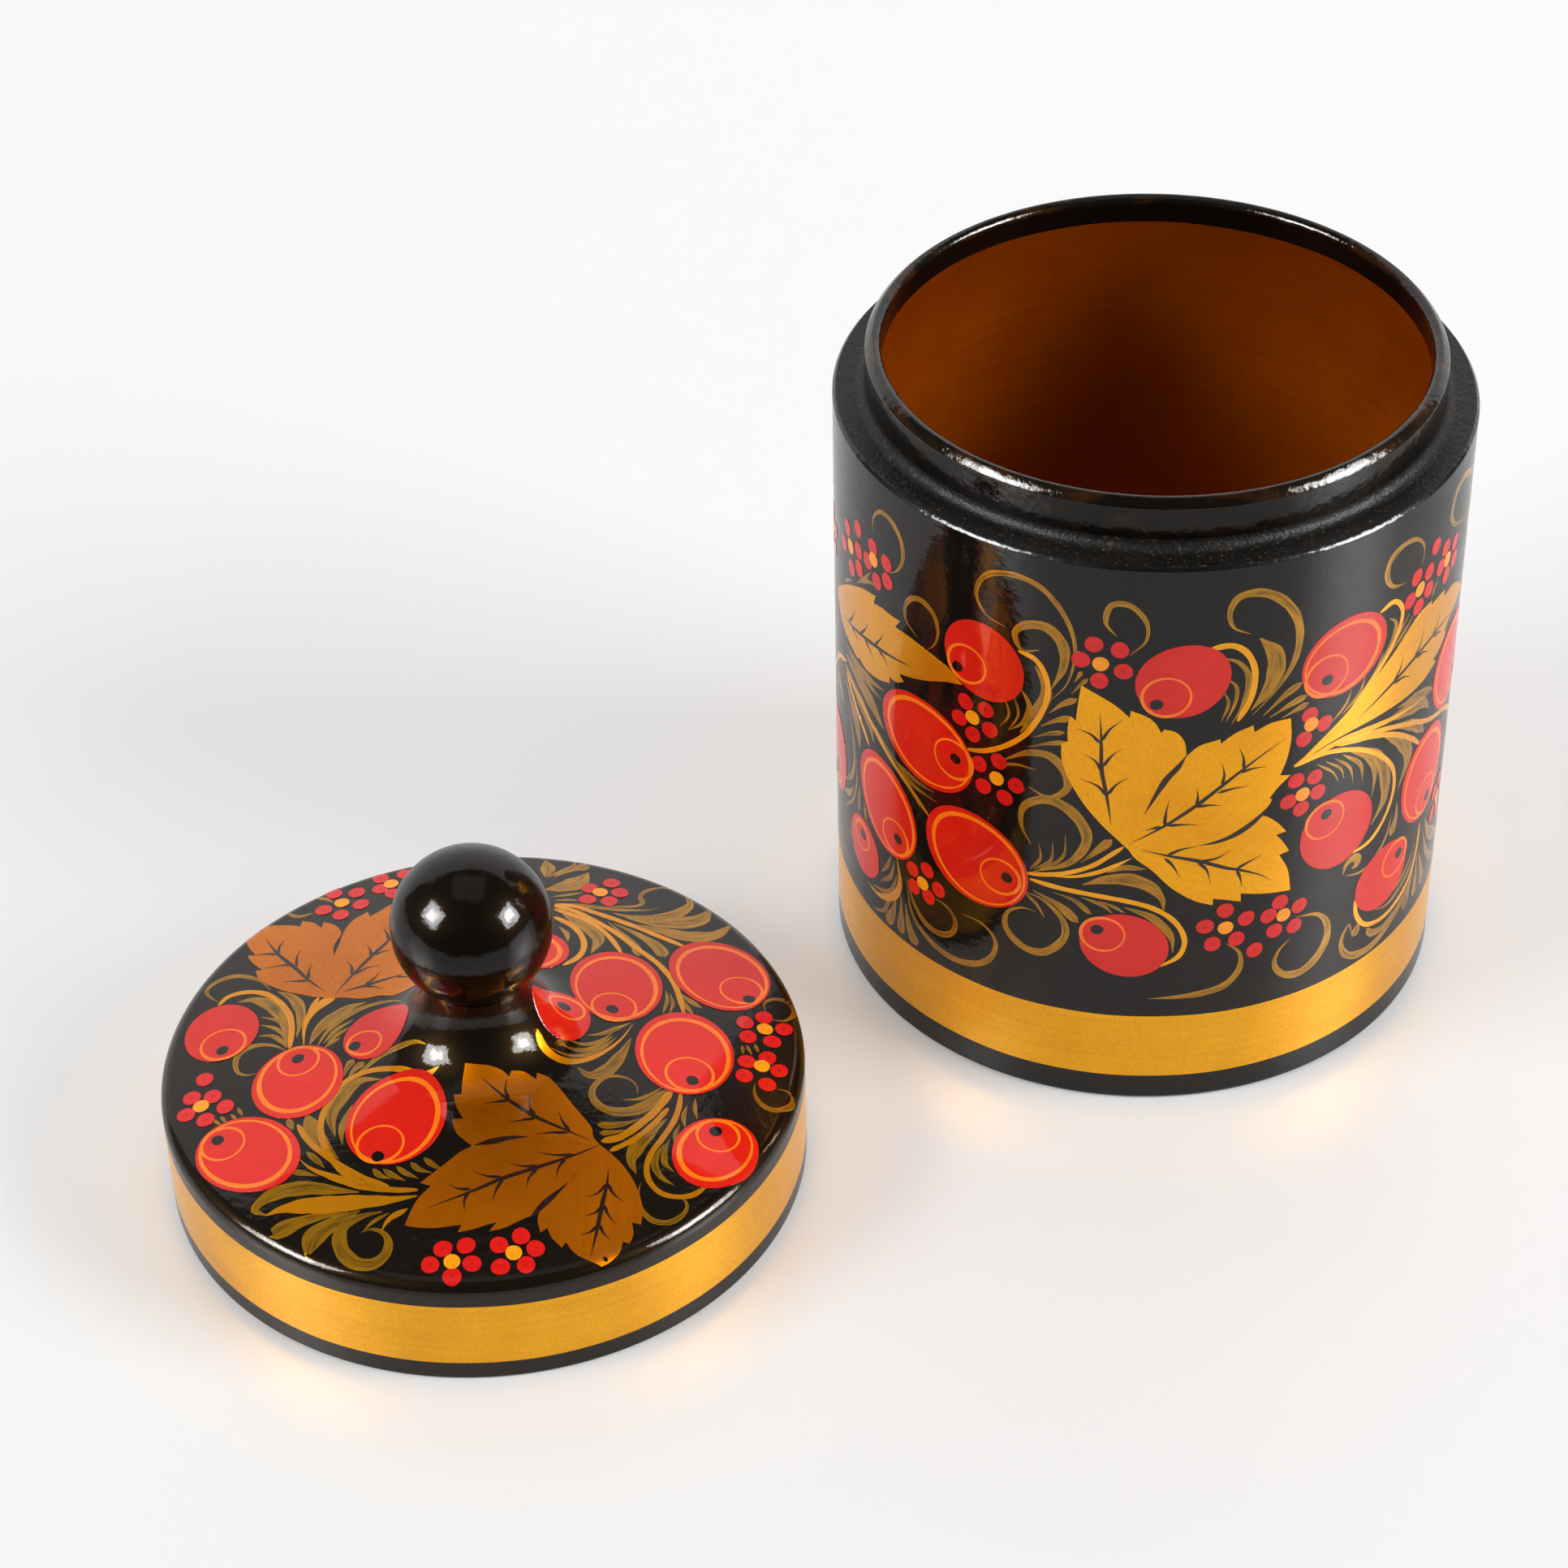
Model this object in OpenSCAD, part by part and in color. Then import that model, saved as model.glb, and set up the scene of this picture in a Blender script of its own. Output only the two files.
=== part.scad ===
// Lacquered wooden canister: a turned jar with a stepped collar, and a domed
// lid whose ball knob is glued into its neck. The lid lies beside the jar.
// The origin is the centre of the jar's foot, on the surface it stands on.

/* [Jar] */
// Outside diameter of the jar's wall
body_d = 90; // [70:1:120]
// Height of the shoulder that the closed lid rests on
shoulder_h = 94.2; // [60:0.1:140]
// Radius of the rounded edge round the foot
foot_round = 0.8; // [0.3:0.1:1.5]
// Radius of the rounded edge of the shoulder
shoulder_round = 0.7; // [0.3:0.1:1.2]
// Thickness of the jar's bottom
floor_t = 7; // [4:0.5:12]
// Radius of the hollow inside corner at the floor
floor_round = 3; // [1:0.5:6]

/* [Collar] */
// Diameter of the collar that the lid slides over
collar_d = 80.8; // [64:0.1:108]
// Height of the collar above the shoulder
collar_h = 7.5; // [5:0.1:9]
// Inside diameter of the mouth and of the whole hollow
mouth_d = 76.2; // [58:0.1:102]
// Radius of the hollow corner where the collar meets the shoulder
collar_fillet = 1.6; // [0.6:0.1:1.8]
// Radius of the rounded rim, outside and inside
rim_round = 1.1; // [0.5:0.1:1.14]

/* [Lid] */
// Outside diameter of the lid
lid_d = 91; // [86:0.5:110]
// Height where the straight side of the lid starts to round over
side_h = 15.5; // [12:0.1:20]
// Radius of the rounded edge round the top of the lid
lid_edge_round = 2.2; // [1:0.1:3]
// Radius of the rounded edge round the bottom of the lid
lid_foot_round = 0.5; // [0.2:0.1:0.8]
// Slope of the lid's top, in degrees
top_slope = 9.8; // [6:0.1:14]
// Gap all round between the collar and the lid's socket
socket_gap = 0.2; // [0.1:0.05:0.4]
// Depth of the lid's socket
socket_depth = 11; // [8.5:0.5:13]
// Size of the bevel round the socket's mouth
socket_bevel = 2; // [1.9:0.1:3]
// Radius of the hollow corner at the top of the socket
socket_round = 1.5; // [0.5:0.1:3]
// Place of the lid beside the jar, to the left and towards the front
lid_place = [-96.5, -51.6]; // [-200:0.1:200]

/* [Neck and knob] */
// Diameter of the neck where the knob stands on it
neck_d = 14.2; // [12:0.1:18]
// Height of the neck's top above the lid's rim
neck_h = 33; // [30:0.1:38]
// Diameter of the ball knob
knob_d = 22.5; // [20:0.5:30]
// Diameter of the tenon that holds the knob in the neck
tenon_d = 7; // [5:0.5:9]
// Length of the tenon
tenon_l = 12; // [8:0.5:14]
// Gap that the glue fills at the tenon's end
glue_gap = 0.5; // [0.2:0.1:1]

/* [Hidden] */
$fn = 180;

body_r = body_d / 2;
collar_r = collar_d / 2;
mouth_r = mouth_d / 2;
rim_h = shoulder_h + collar_h;

lid_r = lid_d / 2;
neck_r = neck_d / 2;
socket_r = collar_r + socket_gap;
// The round edge and the neck's flare both touch the sloping top.
edge_x = lid_r - lid_edge_round;
edge_top = [edge_x + lid_edge_round * sin(top_slope), side_h + lid_edge_round * cos(top_slope)];
flare_r = (neck_h - edge_top[1] - (edge_top[0] - neck_r) * tan(top_slope)) * cos(top_slope)
        / (1 - sin(top_slope));
flare_centre = [neck_r + flare_r, neck_h];
flare_foot = flare_centre - flare_r * [sin(top_slope), cos(top_slope)];

knob_r = knob_d / 2;
tenon_r = tenon_d / 2;
// The ball is cut flat where it stands on the neck, a little inside its edge.
seat_r = neck_r - 0.3;
ball_h = neck_h + sqrt(knob_r * knob_r - seat_r * seat_r);
lacquer = [0.055, 0.045, 0.04];

// A circle of radius r about point p in a turned section.
module dot(p, r) {
    translate(p) circle(r = r);
}

module jar_outline() {
    difference() {
        polygon([
            [0, 0],
            [body_r - foot_round, 0],
            [body_r - foot_round, foot_round],
            [body_r, foot_round],
            [body_r, shoulder_h - shoulder_round],
            [body_r - shoulder_round, shoulder_h - shoulder_round],
            [body_r - shoulder_round, shoulder_h],
            [collar_r + collar_fillet, shoulder_h],
            [collar_r + collar_fillet, shoulder_h + collar_fillet],
            [collar_r, shoulder_h + collar_fillet],
            [collar_r, rim_h - rim_round],
            [collar_r - rim_round, rim_h - rim_round],
            [collar_r - rim_round, rim_h],
            [0, rim_h]
        ]);
        dot([collar_r + collar_fillet, shoulder_h + collar_fillet], collar_fillet);
    }
    dot([body_r - foot_round, foot_round], foot_round);
    dot([body_r - shoulder_round, shoulder_h - shoulder_round], shoulder_round);
    dot([collar_r - rim_round, rim_h - rim_round], rim_round);
}

module jar_hollow() {
    difference() {
        union() {
            polygon([
                [0, floor_t],
                [mouth_r - floor_round, floor_t],
                [mouth_r - floor_round, floor_t + floor_round],
                [mouth_r, floor_t + floor_round],
                [mouth_r, rim_h - rim_round],
                [mouth_r + rim_round, rim_h - rim_round],
                [mouth_r + rim_round, rim_h + 1],
                [0, rim_h + 1]
            ]);
            dot([mouth_r - floor_round, floor_t + floor_round], floor_round);
        }
        dot([mouth_r + rim_round, rim_h - rim_round], rim_round);
    }
}

module jar() {
    color(lacquer)
    rotate_extrude()
    difference() {
        jar_outline();
        jar_hollow();
    }
}

module lid_outline() {
    difference() {
        polygon([
            [0, 0],
            [lid_r - lid_foot_round, 0],
            [lid_r - lid_foot_round, lid_foot_round],
            [lid_r, lid_foot_round],
            [lid_r, side_h],
            [edge_x, side_h],
            edge_top,
            flare_foot,
            flare_centre,
            [neck_r, neck_h],
            [0, neck_h]
        ]);
        dot(flare_centre, flare_r);
    }
    dot([lid_r - lid_foot_round, lid_foot_round], lid_foot_round);
    dot([edge_x, side_h], lid_edge_round);
}

module lid_socket() {
    polygon([
        [0, -1],
        [socket_r + socket_bevel + 1, -1],
        [socket_r, socket_bevel],
        [socket_r, socket_depth - socket_round],
        [socket_r - socket_round, socket_depth - socket_round],
        [socket_r - socket_round, socket_depth],
        [0, socket_depth]
    ]);
    dot([socket_r - socket_round, socket_depth - socket_round], socket_round);
}

module lid() {
    color(lacquer)
    translate(lid_place)
    rotate_extrude()
    difference() {
        lid_outline();
        lid_socket();
        translate([0, neck_h - tenon_l - glue_gap]) square([tenon_r, tenon_l + glue_gap + 1]);
    }
}

module knob() {
    color(lacquer)
    translate(lid_place)
    rotate_extrude() {
        intersection() {
            dot([0, ball_h], knob_r);
            translate([0, neck_h]) square([knob_r + 1, 2 * knob_r + 1]);
        }
        translate([0, neck_h - tenon_l]) square([tenon_r, tenon_l + knob_r]);
    }
}

jar();
lid();
knob();
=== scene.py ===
import math
import random

import bpy
import numpy as np
from mathutils import Matrix, Vector
from mathutils.geometry import delaunay_2d_cdt


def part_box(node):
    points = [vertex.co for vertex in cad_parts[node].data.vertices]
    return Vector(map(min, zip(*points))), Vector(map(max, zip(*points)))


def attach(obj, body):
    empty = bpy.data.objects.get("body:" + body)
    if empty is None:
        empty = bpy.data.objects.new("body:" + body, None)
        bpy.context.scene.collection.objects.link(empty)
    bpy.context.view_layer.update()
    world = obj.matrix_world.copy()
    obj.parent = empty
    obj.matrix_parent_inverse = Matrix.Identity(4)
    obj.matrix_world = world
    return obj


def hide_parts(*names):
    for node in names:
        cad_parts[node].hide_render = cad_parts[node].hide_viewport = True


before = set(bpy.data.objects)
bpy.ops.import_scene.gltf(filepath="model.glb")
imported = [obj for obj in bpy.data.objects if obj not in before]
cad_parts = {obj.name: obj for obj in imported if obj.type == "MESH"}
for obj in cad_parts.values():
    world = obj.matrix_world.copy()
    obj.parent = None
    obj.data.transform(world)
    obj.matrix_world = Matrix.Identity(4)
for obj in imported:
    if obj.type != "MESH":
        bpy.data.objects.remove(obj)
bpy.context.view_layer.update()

# ---------------------------------------------------------------- sizes, in millimetres, from the CAD frame
MM = 0.001
MICRON = 0.000001


def box_mm(node):
    """Lowest and highest corner of a CAD node, in millimetres to a hundredth."""
    low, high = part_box(node)
    return [round(v / MM, 2) for v in low], [round(v / MM, 2) for v in high]


jar_low, jar_high = box_mm("jar")
lid_low, lid_high = box_mm("lid")
knob_low, knob_high = box_mm("knob")
BODY_R = (jar_high[0] - jar_low[0]) / 2
RIM_H = jar_high[2]
LID_R = (lid_high[0] - lid_low[0]) / 2
LID_X = (lid_high[0] + lid_low[0]) / 2
LID_Y = (lid_high[1] + lid_low[1]) / 2
NECK_H = lid_high[2]
KNOB_TOP = knob_high[2]
TENON_END = knob_low[2]

FOOT_ROUND = 0.8
SHOULDER_RUB = 0.455
COLLAR_FILLET = 1.6
COLLAR_H = 7.5
COLLAR_R = 40.4
FILLET_R = COLLAR_R + COLLAR_FILLET
RIM_ROUND = 1.1
FACET = (31, 51)
MOUTH_R = 38.1
FLOOR_T = 7.0
FLOOR_ROUND = 3.0
SHOULDER_H = RIM_H - COLLAR_H

LID_FOOT_ROUND = 0.5
EDGE_ROUND = 2.2
SIDE_H = 15.5
SLOPE = math.radians(9.8)
NECK_R = 7.1
SOCKET_R = 40.6
SOCKET_DEPTH = 11.0
SOCKET_BEVEL = 2.0
SOCKET_ROUND = 1.5
EDGE_X = LID_R - EDGE_ROUND
EDGE_TOP_R = EDGE_X + EDGE_ROUND * math.sin(SLOPE)
EDGE_TOP_Z = SIDE_H + EDGE_ROUND * math.cos(SLOPE)
FLARE_RUN = (EDGE_TOP_R - NECK_R) * math.tan(SLOPE)
FLARE_R = (NECK_H - EDGE_TOP_Z - FLARE_RUN) * math.cos(SLOPE) / (1 - math.sin(SLOPE))
FLARE_X = NECK_R + FLARE_R
FLARE_FOOT_R = FLARE_X - FLARE_R * math.sin(SLOPE)
FLARE_FOOT_Z = NECK_H - FLARE_R * math.cos(SLOPE)

KNOB_R = 11.25
SEAT_R = 6.8
TENON_R = 3.5
KNOB_Z = KNOB_TOP - KNOB_R
TENON_HOLE = TENON_END - 0.5

# Painted zones, measured up from the foot of each part.
JAR_BAND = (4.48, 15.94)
LID_BAND = (3.08, 13.7)
LINING_TOP = 97.75
BAND_WAVER = 0.09

TURNS = 256
ON_AXIS = 1e-6
QUARTER = math.pi / 2
dice = random.Random(20)


# ---------------------------------------------------------------- materials
def srgb(red, green, blue):
    """A colour given as 0 to 255 screen values, as linear light with alpha."""
    made = []
    for value in (red, green, blue):
        share = value / 255
        made.append(share / 12.92 if share <= 0.04045 else ((share + 0.055) / 1.055) ** 2.4)
    return (*made, 1.0)


class Finish:
    """A node material round one Principled shader under clear lacquer."""

    def __init__(self, name, roughness, coat=0.55, coat_roughness=0.03, metallic=0.0, specular=0.2):
        self.material = bpy.data.materials.new(name)
        self.material.use_nodes = True
        self.tree = self.material.node_tree
        self.tree.nodes.clear()
        self.shader = self.node("ShaderNodeBsdfPrincipled")
        output = self.node("ShaderNodeOutputMaterial")
        self.join(self.shader.outputs[0], output.inputs["Surface"])
        sockets = self.shader.inputs
        sockets["Roughness"].default_value = roughness
        sockets["Metallic"].default_value = metallic
        sockets["Specular IOR Level"].default_value = specular
        sockets["Coat Weight"].default_value = coat
        sockets["Coat Roughness"].default_value = coat_roughness
        sockets["Coat IOR"].default_value = 1.5
        self.place = self.node("ShaderNodeTexCoord").outputs["Object"]

    def node(self, kind, **settings):
        made = self.tree.nodes.new(kind)
        for key, value in settings.items():
            setattr(made, key, value)
        return made

    def join(self, source, target):
        self.tree.links.new(source, target)

    def put(self, socket, value):
        """Sets a socket to a number or colour, or links it to another socket."""
        if isinstance(value, bpy.types.NodeSocket):
            self.join(value, socket)
        else:
            socket.default_value = value

    def brush(self):
        """Where a point is in its brush stroke: along it, across it, and the stroke's own number."""
        return self.node("ShaderNodeAttribute", attribute_name="brush").outputs["Vector"]

    def stretched(self, vector, scale, offset=(0, 0, 0)):
        mapping = self.node("ShaderNodeMapping")
        self.put(mapping.inputs["Vector"], vector)
        mapping.inputs["Scale"].default_value = scale
        mapping.inputs["Location"].default_value = offset
        return mapping.outputs[0]

    def noise(self, vector, scale, detail=2.0, rough=0.5):
        made = self.node("ShaderNodeTexNoise")
        self.put(made.inputs["Vector"], vector)
        made.inputs["Scale"].default_value = scale
        made.inputs["Detail"].default_value = detail
        made.inputs["Roughness"].default_value = rough
        return made.outputs["Fac"]

    def ramp(self, factor, *stops):
        made = self.node("ShaderNodeValToRGB")
        self.join(factor, made.inputs[0])
        bar = made.color_ramp
        while len(bar.elements) < len(stops):
            bar.elements.new(0.5)
        for element, (position, colour) in zip(bar.elements, stops):
            element.position = position
            element.color = colour if isinstance(colour, tuple) else (colour, colour, colour, 1)
        return made.outputs[0]

    def mix(self, factor, first, second, blend="MIX"):
        made = self.node("ShaderNodeMix", data_type="RGBA", blend_type=blend)
        self.put(made.inputs[0], factor)
        self.put(made.inputs[6], first)
        self.put(made.inputs[7], second)
        return made.outputs[2]

    def arithmetic(self, operation, first, second):
        made = self.node("ShaderNodeMath", operation=operation)
        self.put(made.inputs[0], first)
        self.put(made.inputs[1], second)
        return made.outputs[0]

    def plus(self, first, second):
        return self.arithmetic("ADD", first, second)

    def times(self, first, second):
        return self.arithmetic("MULTIPLY", first, second)

    def colour(self, value):
        self.put(self.shader.inputs["Base Color"], value)

    def roughen(self, value):
        self.put(self.shader.inputs["Roughness"], value)

    def bump(self, height, unit):
        """Tilts the paint and the coat by a height map whose values are in the unit given, in metres."""
        made = self.node("ShaderNodeBump")
        made.inputs["Strength"].default_value = 1
        made.inputs["Distance"].default_value = unit
        self.put(made.inputs["Height"], height)
        self.join(made.outputs[0], self.shader.inputs["Normal"])
        self.join(made.outputs[0], self.shader.inputs["Coat Normal"])

    def lacquer_skin(self, base, dust=0.12, peel=1.0):
        """The clear coat wiped on by hand: a ripple, orange peel and a few nibs of dust, in microns."""
        specks = self.node("ShaderNodeTexVoronoi", feature="F1")
        self.put(specks.inputs["Vector"], self.place)
        specks.inputs["Scale"].default_value = 170
        nib = self.ramp(specks.outputs["Distance"], (0.015, 1.0), (0.045, 0.0))
        rare = self.ramp(self.noise(self.place, 90, 2), (0.56, 0.0), (0.62, 1.0))
        nib = self.times(nib, rare)
        lumps = self.times(self.noise(self.place, 520, 1), 4.0 * peel)
        ripple = self.plus(self.times(self.noise(self.place, 130, 1), 8.0), lumps)
        fine = self.times(self.noise(self.place, 1300, 3, 0.6), 2.2 * peel)
        height = self.plus(self.plus(ripple, fine), self.times(nib, 4.0))
        self.bump(height, MICRON)
        return self.mix(self.times(nib, dust), base, srgb(225, 190, 130))


def black_lacquer(name, coat, peel, coat_roughness=0.03, brown=0.0, dusting=0.04):
    """Soot black under clear lacquer with tin dust in it. brown shows the wood where the coat is thin."""
    finish = Finish(name, 0.3, coat, coat_roughness, specular=dusting)
    finish.shader.inputs["Specular Tint"].default_value = (1, 0.55, 0.16, 1)
    cloud = finish.noise(finish.place, 45, 3)
    base = finish.ramp(cloud, (0.3, srgb(6, 6, 6)), (0.6, srgb(9, 7, 6)), (0.78, srgb(15, 10, 6)))
    if brown:
        patchy = finish.noise(finish.stretched(finish.place, (1, 1, 3)), 170, 4)
        thin = finish.ramp(patchy, (0.5, 0.0), (0.75, brown))
        base = finish.mix(thin, base, srgb(70, 38, 12))
    finish.colour(finish.lacquer_skin(base, peel=peel))
    smear = finish.noise(finish.stretched(finish.place, (1, 1, 5)), 60, 3)
    finish.roughen(finish.ramp(smear, (0.3, 0.34), (0.8, 0.52)))
    return finish.material


def dull_lacquer():
    """The ledge and the inside of the socket: thin lacquer, rubbed grainy where the parts meet."""
    finish = Finish("dull_lacquer", 0.5, 0.16, 0.16, specular=0.16)
    grain = finish.noise(finish.place, 1700, 4, 0.65)
    worn = finish.noise(finish.place, 150, 4, 0.6)
    base = finish.ramp(grain, (0.4, srgb(8, 7, 6)), (0.62, srgb(18, 14, 10)), (0.7, srgb(96, 80, 62)))
    dusty = finish.ramp(worn, (0.5, 0.0), (0.75, 0.3))
    finish.colour(finish.mix(dusty, base, srgb(40, 28, 18)))
    finish.roughen(finish.ramp(grain, (0.3, 0.4), (0.7, 0.6)))
    lumps = finish.times(finish.noise(finish.place, 420, 2), 150.0)
    finish.bump(finish.plus(lumps, finish.times(grain, 150.0)), MICRON)
    return finish.material


def worn_edge():
    """The rounded shoulder: the black is rubbed through to ochre ground in short runs."""
    finish = Finish("worn_edge", 0.4, 0.6, 0.05, specular=0.15)
    along = finish.noise(finish.stretched(finish.place, (1, 1, 4)), 75, 5, 0.62)
    fine = finish.noise(finish.place, 1300, 3)
    patch = finish.plus(along, finish.times(fine, 0.14))
    rubbed = finish.ramp(patch, (0.74, 0.0), (0.78, 1.0))
    ochre = finish.ramp(fine, (0.35, srgb(120, 60, 15)), (0.65, srgb(205, 125, 45)))
    finish.colour(finish.mix(rubbed, srgb(9, 7, 6), ochre))
    finish.roughen(finish.ramp(patch, (0.7, 0.34), (0.8, 0.6)))
    lumps = finish.times(finish.noise(finish.place, 560, 2), 130.0)
    finish.bump(finish.plus(lumps, finish.times(rubbed, 25.0)), MICRON)
    return finish.material


def gold(name, light, middle, dark, roughness, level, dust=0.12, metallic=1.0, coat=0.4, shade_mouth=False):
    """Tin powder under yellowed lacquer. level is True on a turned band, where the brush ran level.

    On the inside of the jar the lining can take a painted shade, its colour darker towards the mouth.
    """
    finish = Finish(name, roughness, coat, metallic=metallic, specular=0.0)
    if level:
        lines = finish.noise(finish.stretched(finish.place, (16, 16, 900)), 1.6, 3, 0.55)
    else:
        lines = finish.noise(finish.stretched(finish.brush(), (0.1, 1.4, 7)), 1.5, 3, 0.55)
    slow = finish.noise(finish.place, 85, 3, 0.55)
    powder = finish.noise(finish.place, 3000, 2, 0.7)
    tone = finish.plus(finish.times(lines, 0.4), finish.times(slow, 0.6))
    base = finish.ramp(tone, (0.3, srgb(*dark)), (0.5, srgb(*middle)), (0.7, srgb(*light)))
    speckle = finish.ramp(powder, (0.3, srgb(226, 220, 205)), (0.6, srgb(255, 255, 255)))
    base = finish.mix(0.6, base, speckle, "MULTIPLY")
    # Painted shade: the lining's colour grows darker towards the mouth.
    if shade_mouth:
        split = finish.node("ShaderNodeSeparateXYZ")
        finish.join(finish.place, split.inputs[0])
        height = finish.arithmetic("DIVIDE", split.outputs[2], 0.1)
        painted_mouth_shade = finish.ramp(height, (0.35, (1, 1, 1, 1)), (0.95, (0.47, 0.37, 0.3, 1)))
        base = finish.mix(1.0, base, painted_mouth_shade, "MULTIPLY")
    finish.colour(finish.lacquer_skin(base, dust))
    finish.roughen(finish.ramp(powder, (0.3, roughness + 0.06), (0.7, roughness - 0.05)))
    return finish.material


def paint(name, light, dark, roughness=0.5, streak=2.2, centre=None):
    """Opaque tempera under the lacquer. centre darkens the middle of a dabbed dot."""
    finish = Finish(name, roughness, 0.72, specular=0.05)
    where = finish.brush()
    lines = finish.noise(finish.stretched(where, (0.25, streak, 6)), 0.9, 2, 0.5)
    pigment = finish.noise(finish.place, 1500, 3, 0.6)
    tone = finish.plus(finish.times(lines, 0.6), finish.times(pigment, 0.4))
    base = finish.ramp(tone, (0.3, srgb(*dark)), (0.7, srgb(*light)))
    if centre:
        flat = finish.stretched(where, (1, 1, 0))
        length = finish.node("ShaderNodeVectorMath", operation="LENGTH")
        finish.join(flat, length.inputs[0])
        spot = finish.ramp(length.outputs["Value"], (0.1, 1.0), (0.42, 0.0))
        number = finish.noise(finish.stretched(where, (0, 0, 1)), 3.1, 1)
        some = finish.ramp(number, (0.42, 0.0), (0.56, 0.7))
        base = finish.mix(finish.times(spot, some), base, srgb(*centre))
    finish.colour(finish.lacquer_skin(base))
    finish.roughen(finish.ramp(pigment, (0.3, roughness - 0.1), (0.7, roughness + 0.1)))
    return finish.material


def stroke_paint(name, light, dark, thin, cover, metallic):
    """A dry brush of gold: streaks run along it, paint gathers at its edges, and black shows between."""
    finish = Finish(name, 0.4, metallic=metallic, specular=0.2)
    where = finish.brush()
    hairs = finish.noise(finish.stretched(where, (0.2, 5.0, 9)), 1.3, 3, 0.6)
    load = finish.noise(finish.stretched(where, (0.16, 0.5, 3)), 1.4, 2)
    edge = finish.node("ShaderNodeAttribute", attribute_name="edge").outputs["Fac"]
    base = finish.ramp(hairs, (0.3, srgb(*dark)), (0.66, srgb(*light)))
    tone = finish.plus(finish.times(hairs, 0.55), finish.times(load, 0.45))
    tone = finish.plus(tone, finish.ramp(edge, (0.45, 0.0), (0.85, 0.16)))
    bare = finish.ramp(tone, (cover - 0.1, 1.0), (cover + 0.1, 0.0))
    finish.colour(finish.lacquer_skin(finish.mix(bare, base, srgb(*thin))))
    finish.roughen(finish.ramp(hairs, (0.3, 0.48), (0.7, 0.32)))
    return finish.material


BLACK = black_lacquer("black_lacquer", 0.62, 7.0)
LID_BLACK = black_lacquer("lid_black", 0.55, 9.0, 0.04, dusting=0.1)
KNOB_BLACK = black_lacquer("knob_black", 0.5, 11.0, 0.07)
RIM_BLACK = black_lacquer("rim_black", 0.7, 22.0, 0.05, brown=0.5)
COLLAR_BLACK = black_lacquer("collar_black", 0.45, 18.0, 0.06, brown=0.2)
DULL = dull_lacquer()
WORN = worn_edge()
BAND = gold("gold_band", (239, 175, 8), (231, 165, 6), (220, 151, 4), 0.41, True)
LINING = gold(
    "gold_lining", (178, 88, 3), (170, 82, 2), (158, 73, 1), 0.5, True,
    dust=0.8, metallic=0.3, coat=0.06, shade_mouth=True,
)
LEAF = gold("gilt_leaf", (243, 170, 4), (236, 162, 3), (226, 150, 2), 0.37, False)
# Painted shade: the lid's leaf gold is the wall's leaf gold made darker and more orange, for how the lid is
# lit.
SHADED_LID_LEAF = gold("gilt_leaf_shaded", (208, 118, 4), (198, 108, 2), (186, 98, 2), 0.44, False, dust=0.5)
STEM = stroke_paint("bright_stem", (240, 168, 8), (218, 142, 5), (150, 98, 8), 0.26, 0.95)
# Painted shade: the lid's stems are the wall's stem gold made darker, for how the lid is lit.
SHADED_LID_STEM = stroke_paint("bright_stem_shaded", (226, 148, 8), (202, 124, 4), (140, 86, 8), 0.26, 0.95)
OLIVE = stroke_paint("olive_stroke", (176, 124, 16), (142, 98, 11), (78, 56, 14), 0.44, 0.85)
BERRY = paint("berry_red", (207, 27, 8), (197, 22, 6), 0.5, 0.6)
LINE = paint("line_orange", (244, 124, 14), (226, 100, 4), 0.5, 2.5)
PETAL = paint("floret_red", (208, 20, 14), (192, 14, 9), 0.5, 1.2, (128, 12, 6))
HEART = paint("floret_heart", (242, 152, 14), (228, 130, 6), 0.5, 1.2)
VEIN = paint("vein_dark", (46, 24, 12), (26, 12, 7), 0.5, 2.0)
EYE = paint("eye_black", (13, 9, 7), (8, 6, 5), 0.45, 1.0)


# ---------------------------------------------------------------- turned shells
def straight(r0, z0, r1, z1, count=1, material=0, waver=(0, 0)):
    """One straight run of a turned section. waver lets its first or last ring wander up and down."""
    length = math.hypot(r1 - r0, z1 - z0)
    normal = ((z1 - z0) / length, (r0 - r1) / length)
    points = []
    for k in range(count + 1):
        share = k / count
        sway = waver[0] if k == 0 else waver[1] if k == count else 0
        points.append((r0 + (r1 - r0) * share, z0 + (z1 - z0) * share, *normal, sway))
    return points, material


def round_run(r, z, radius, start, end, count, hollow=False, material=0):
    """One arc of a turned section, by its centre and its angles in degrees from +r towards +z."""
    points = []
    for k in range(count + 1):
        a = math.radians(start + (end - start) * k / count)
        side = -1 if hollow else 1
        across = radius * math.cos(a)
        points.append((r + across, z + radius * math.sin(a), side * math.cos(a), side * math.sin(a), 0))
    return points, material


def hand_waver(angle):
    """How a hand-held brush line wanders as the work turns, from about -1 to 1."""
    return 0.5 * math.sin(3 * angle + 1) + 0.3 * math.sin(8 * angle + 2) + 0.2 * math.sin(19 * angle)


def make_mesh(name, points, faces, normals, materials, slots=None, brush=None, edge=None):
    """An object from points in millimetres, with the normals given for every face corner."""
    mesh = bpy.data.meshes.new(name)
    mesh.from_pydata([tuple(p) for p in np.asarray(points) * MM], [], faces)
    mesh.polygons.foreach_set("use_smooth", [True] * len(faces))
    for material in materials:
        mesh.materials.append(material)
    if slots is not None:
        mesh.polygons.foreach_set("material_index", slots)
    if brush is not None:
        made = mesh.attributes.new("brush", "FLOAT_VECTOR", "POINT")
        made.data.foreach_set("vector", np.asarray(brush, np.float32).ravel())
    if edge is not None:
        made = mesh.attributes.new("edge", "FLOAT", "POINT")
        made.data.foreach_set("value", np.asarray(edge, np.float32))
    mesh.normals_split_custom_set([tuple(n) for n in normals])
    piece = bpy.data.objects.new(name, mesh)
    bpy.context.scene.collection.objects.link(piece)
    return piece


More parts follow.
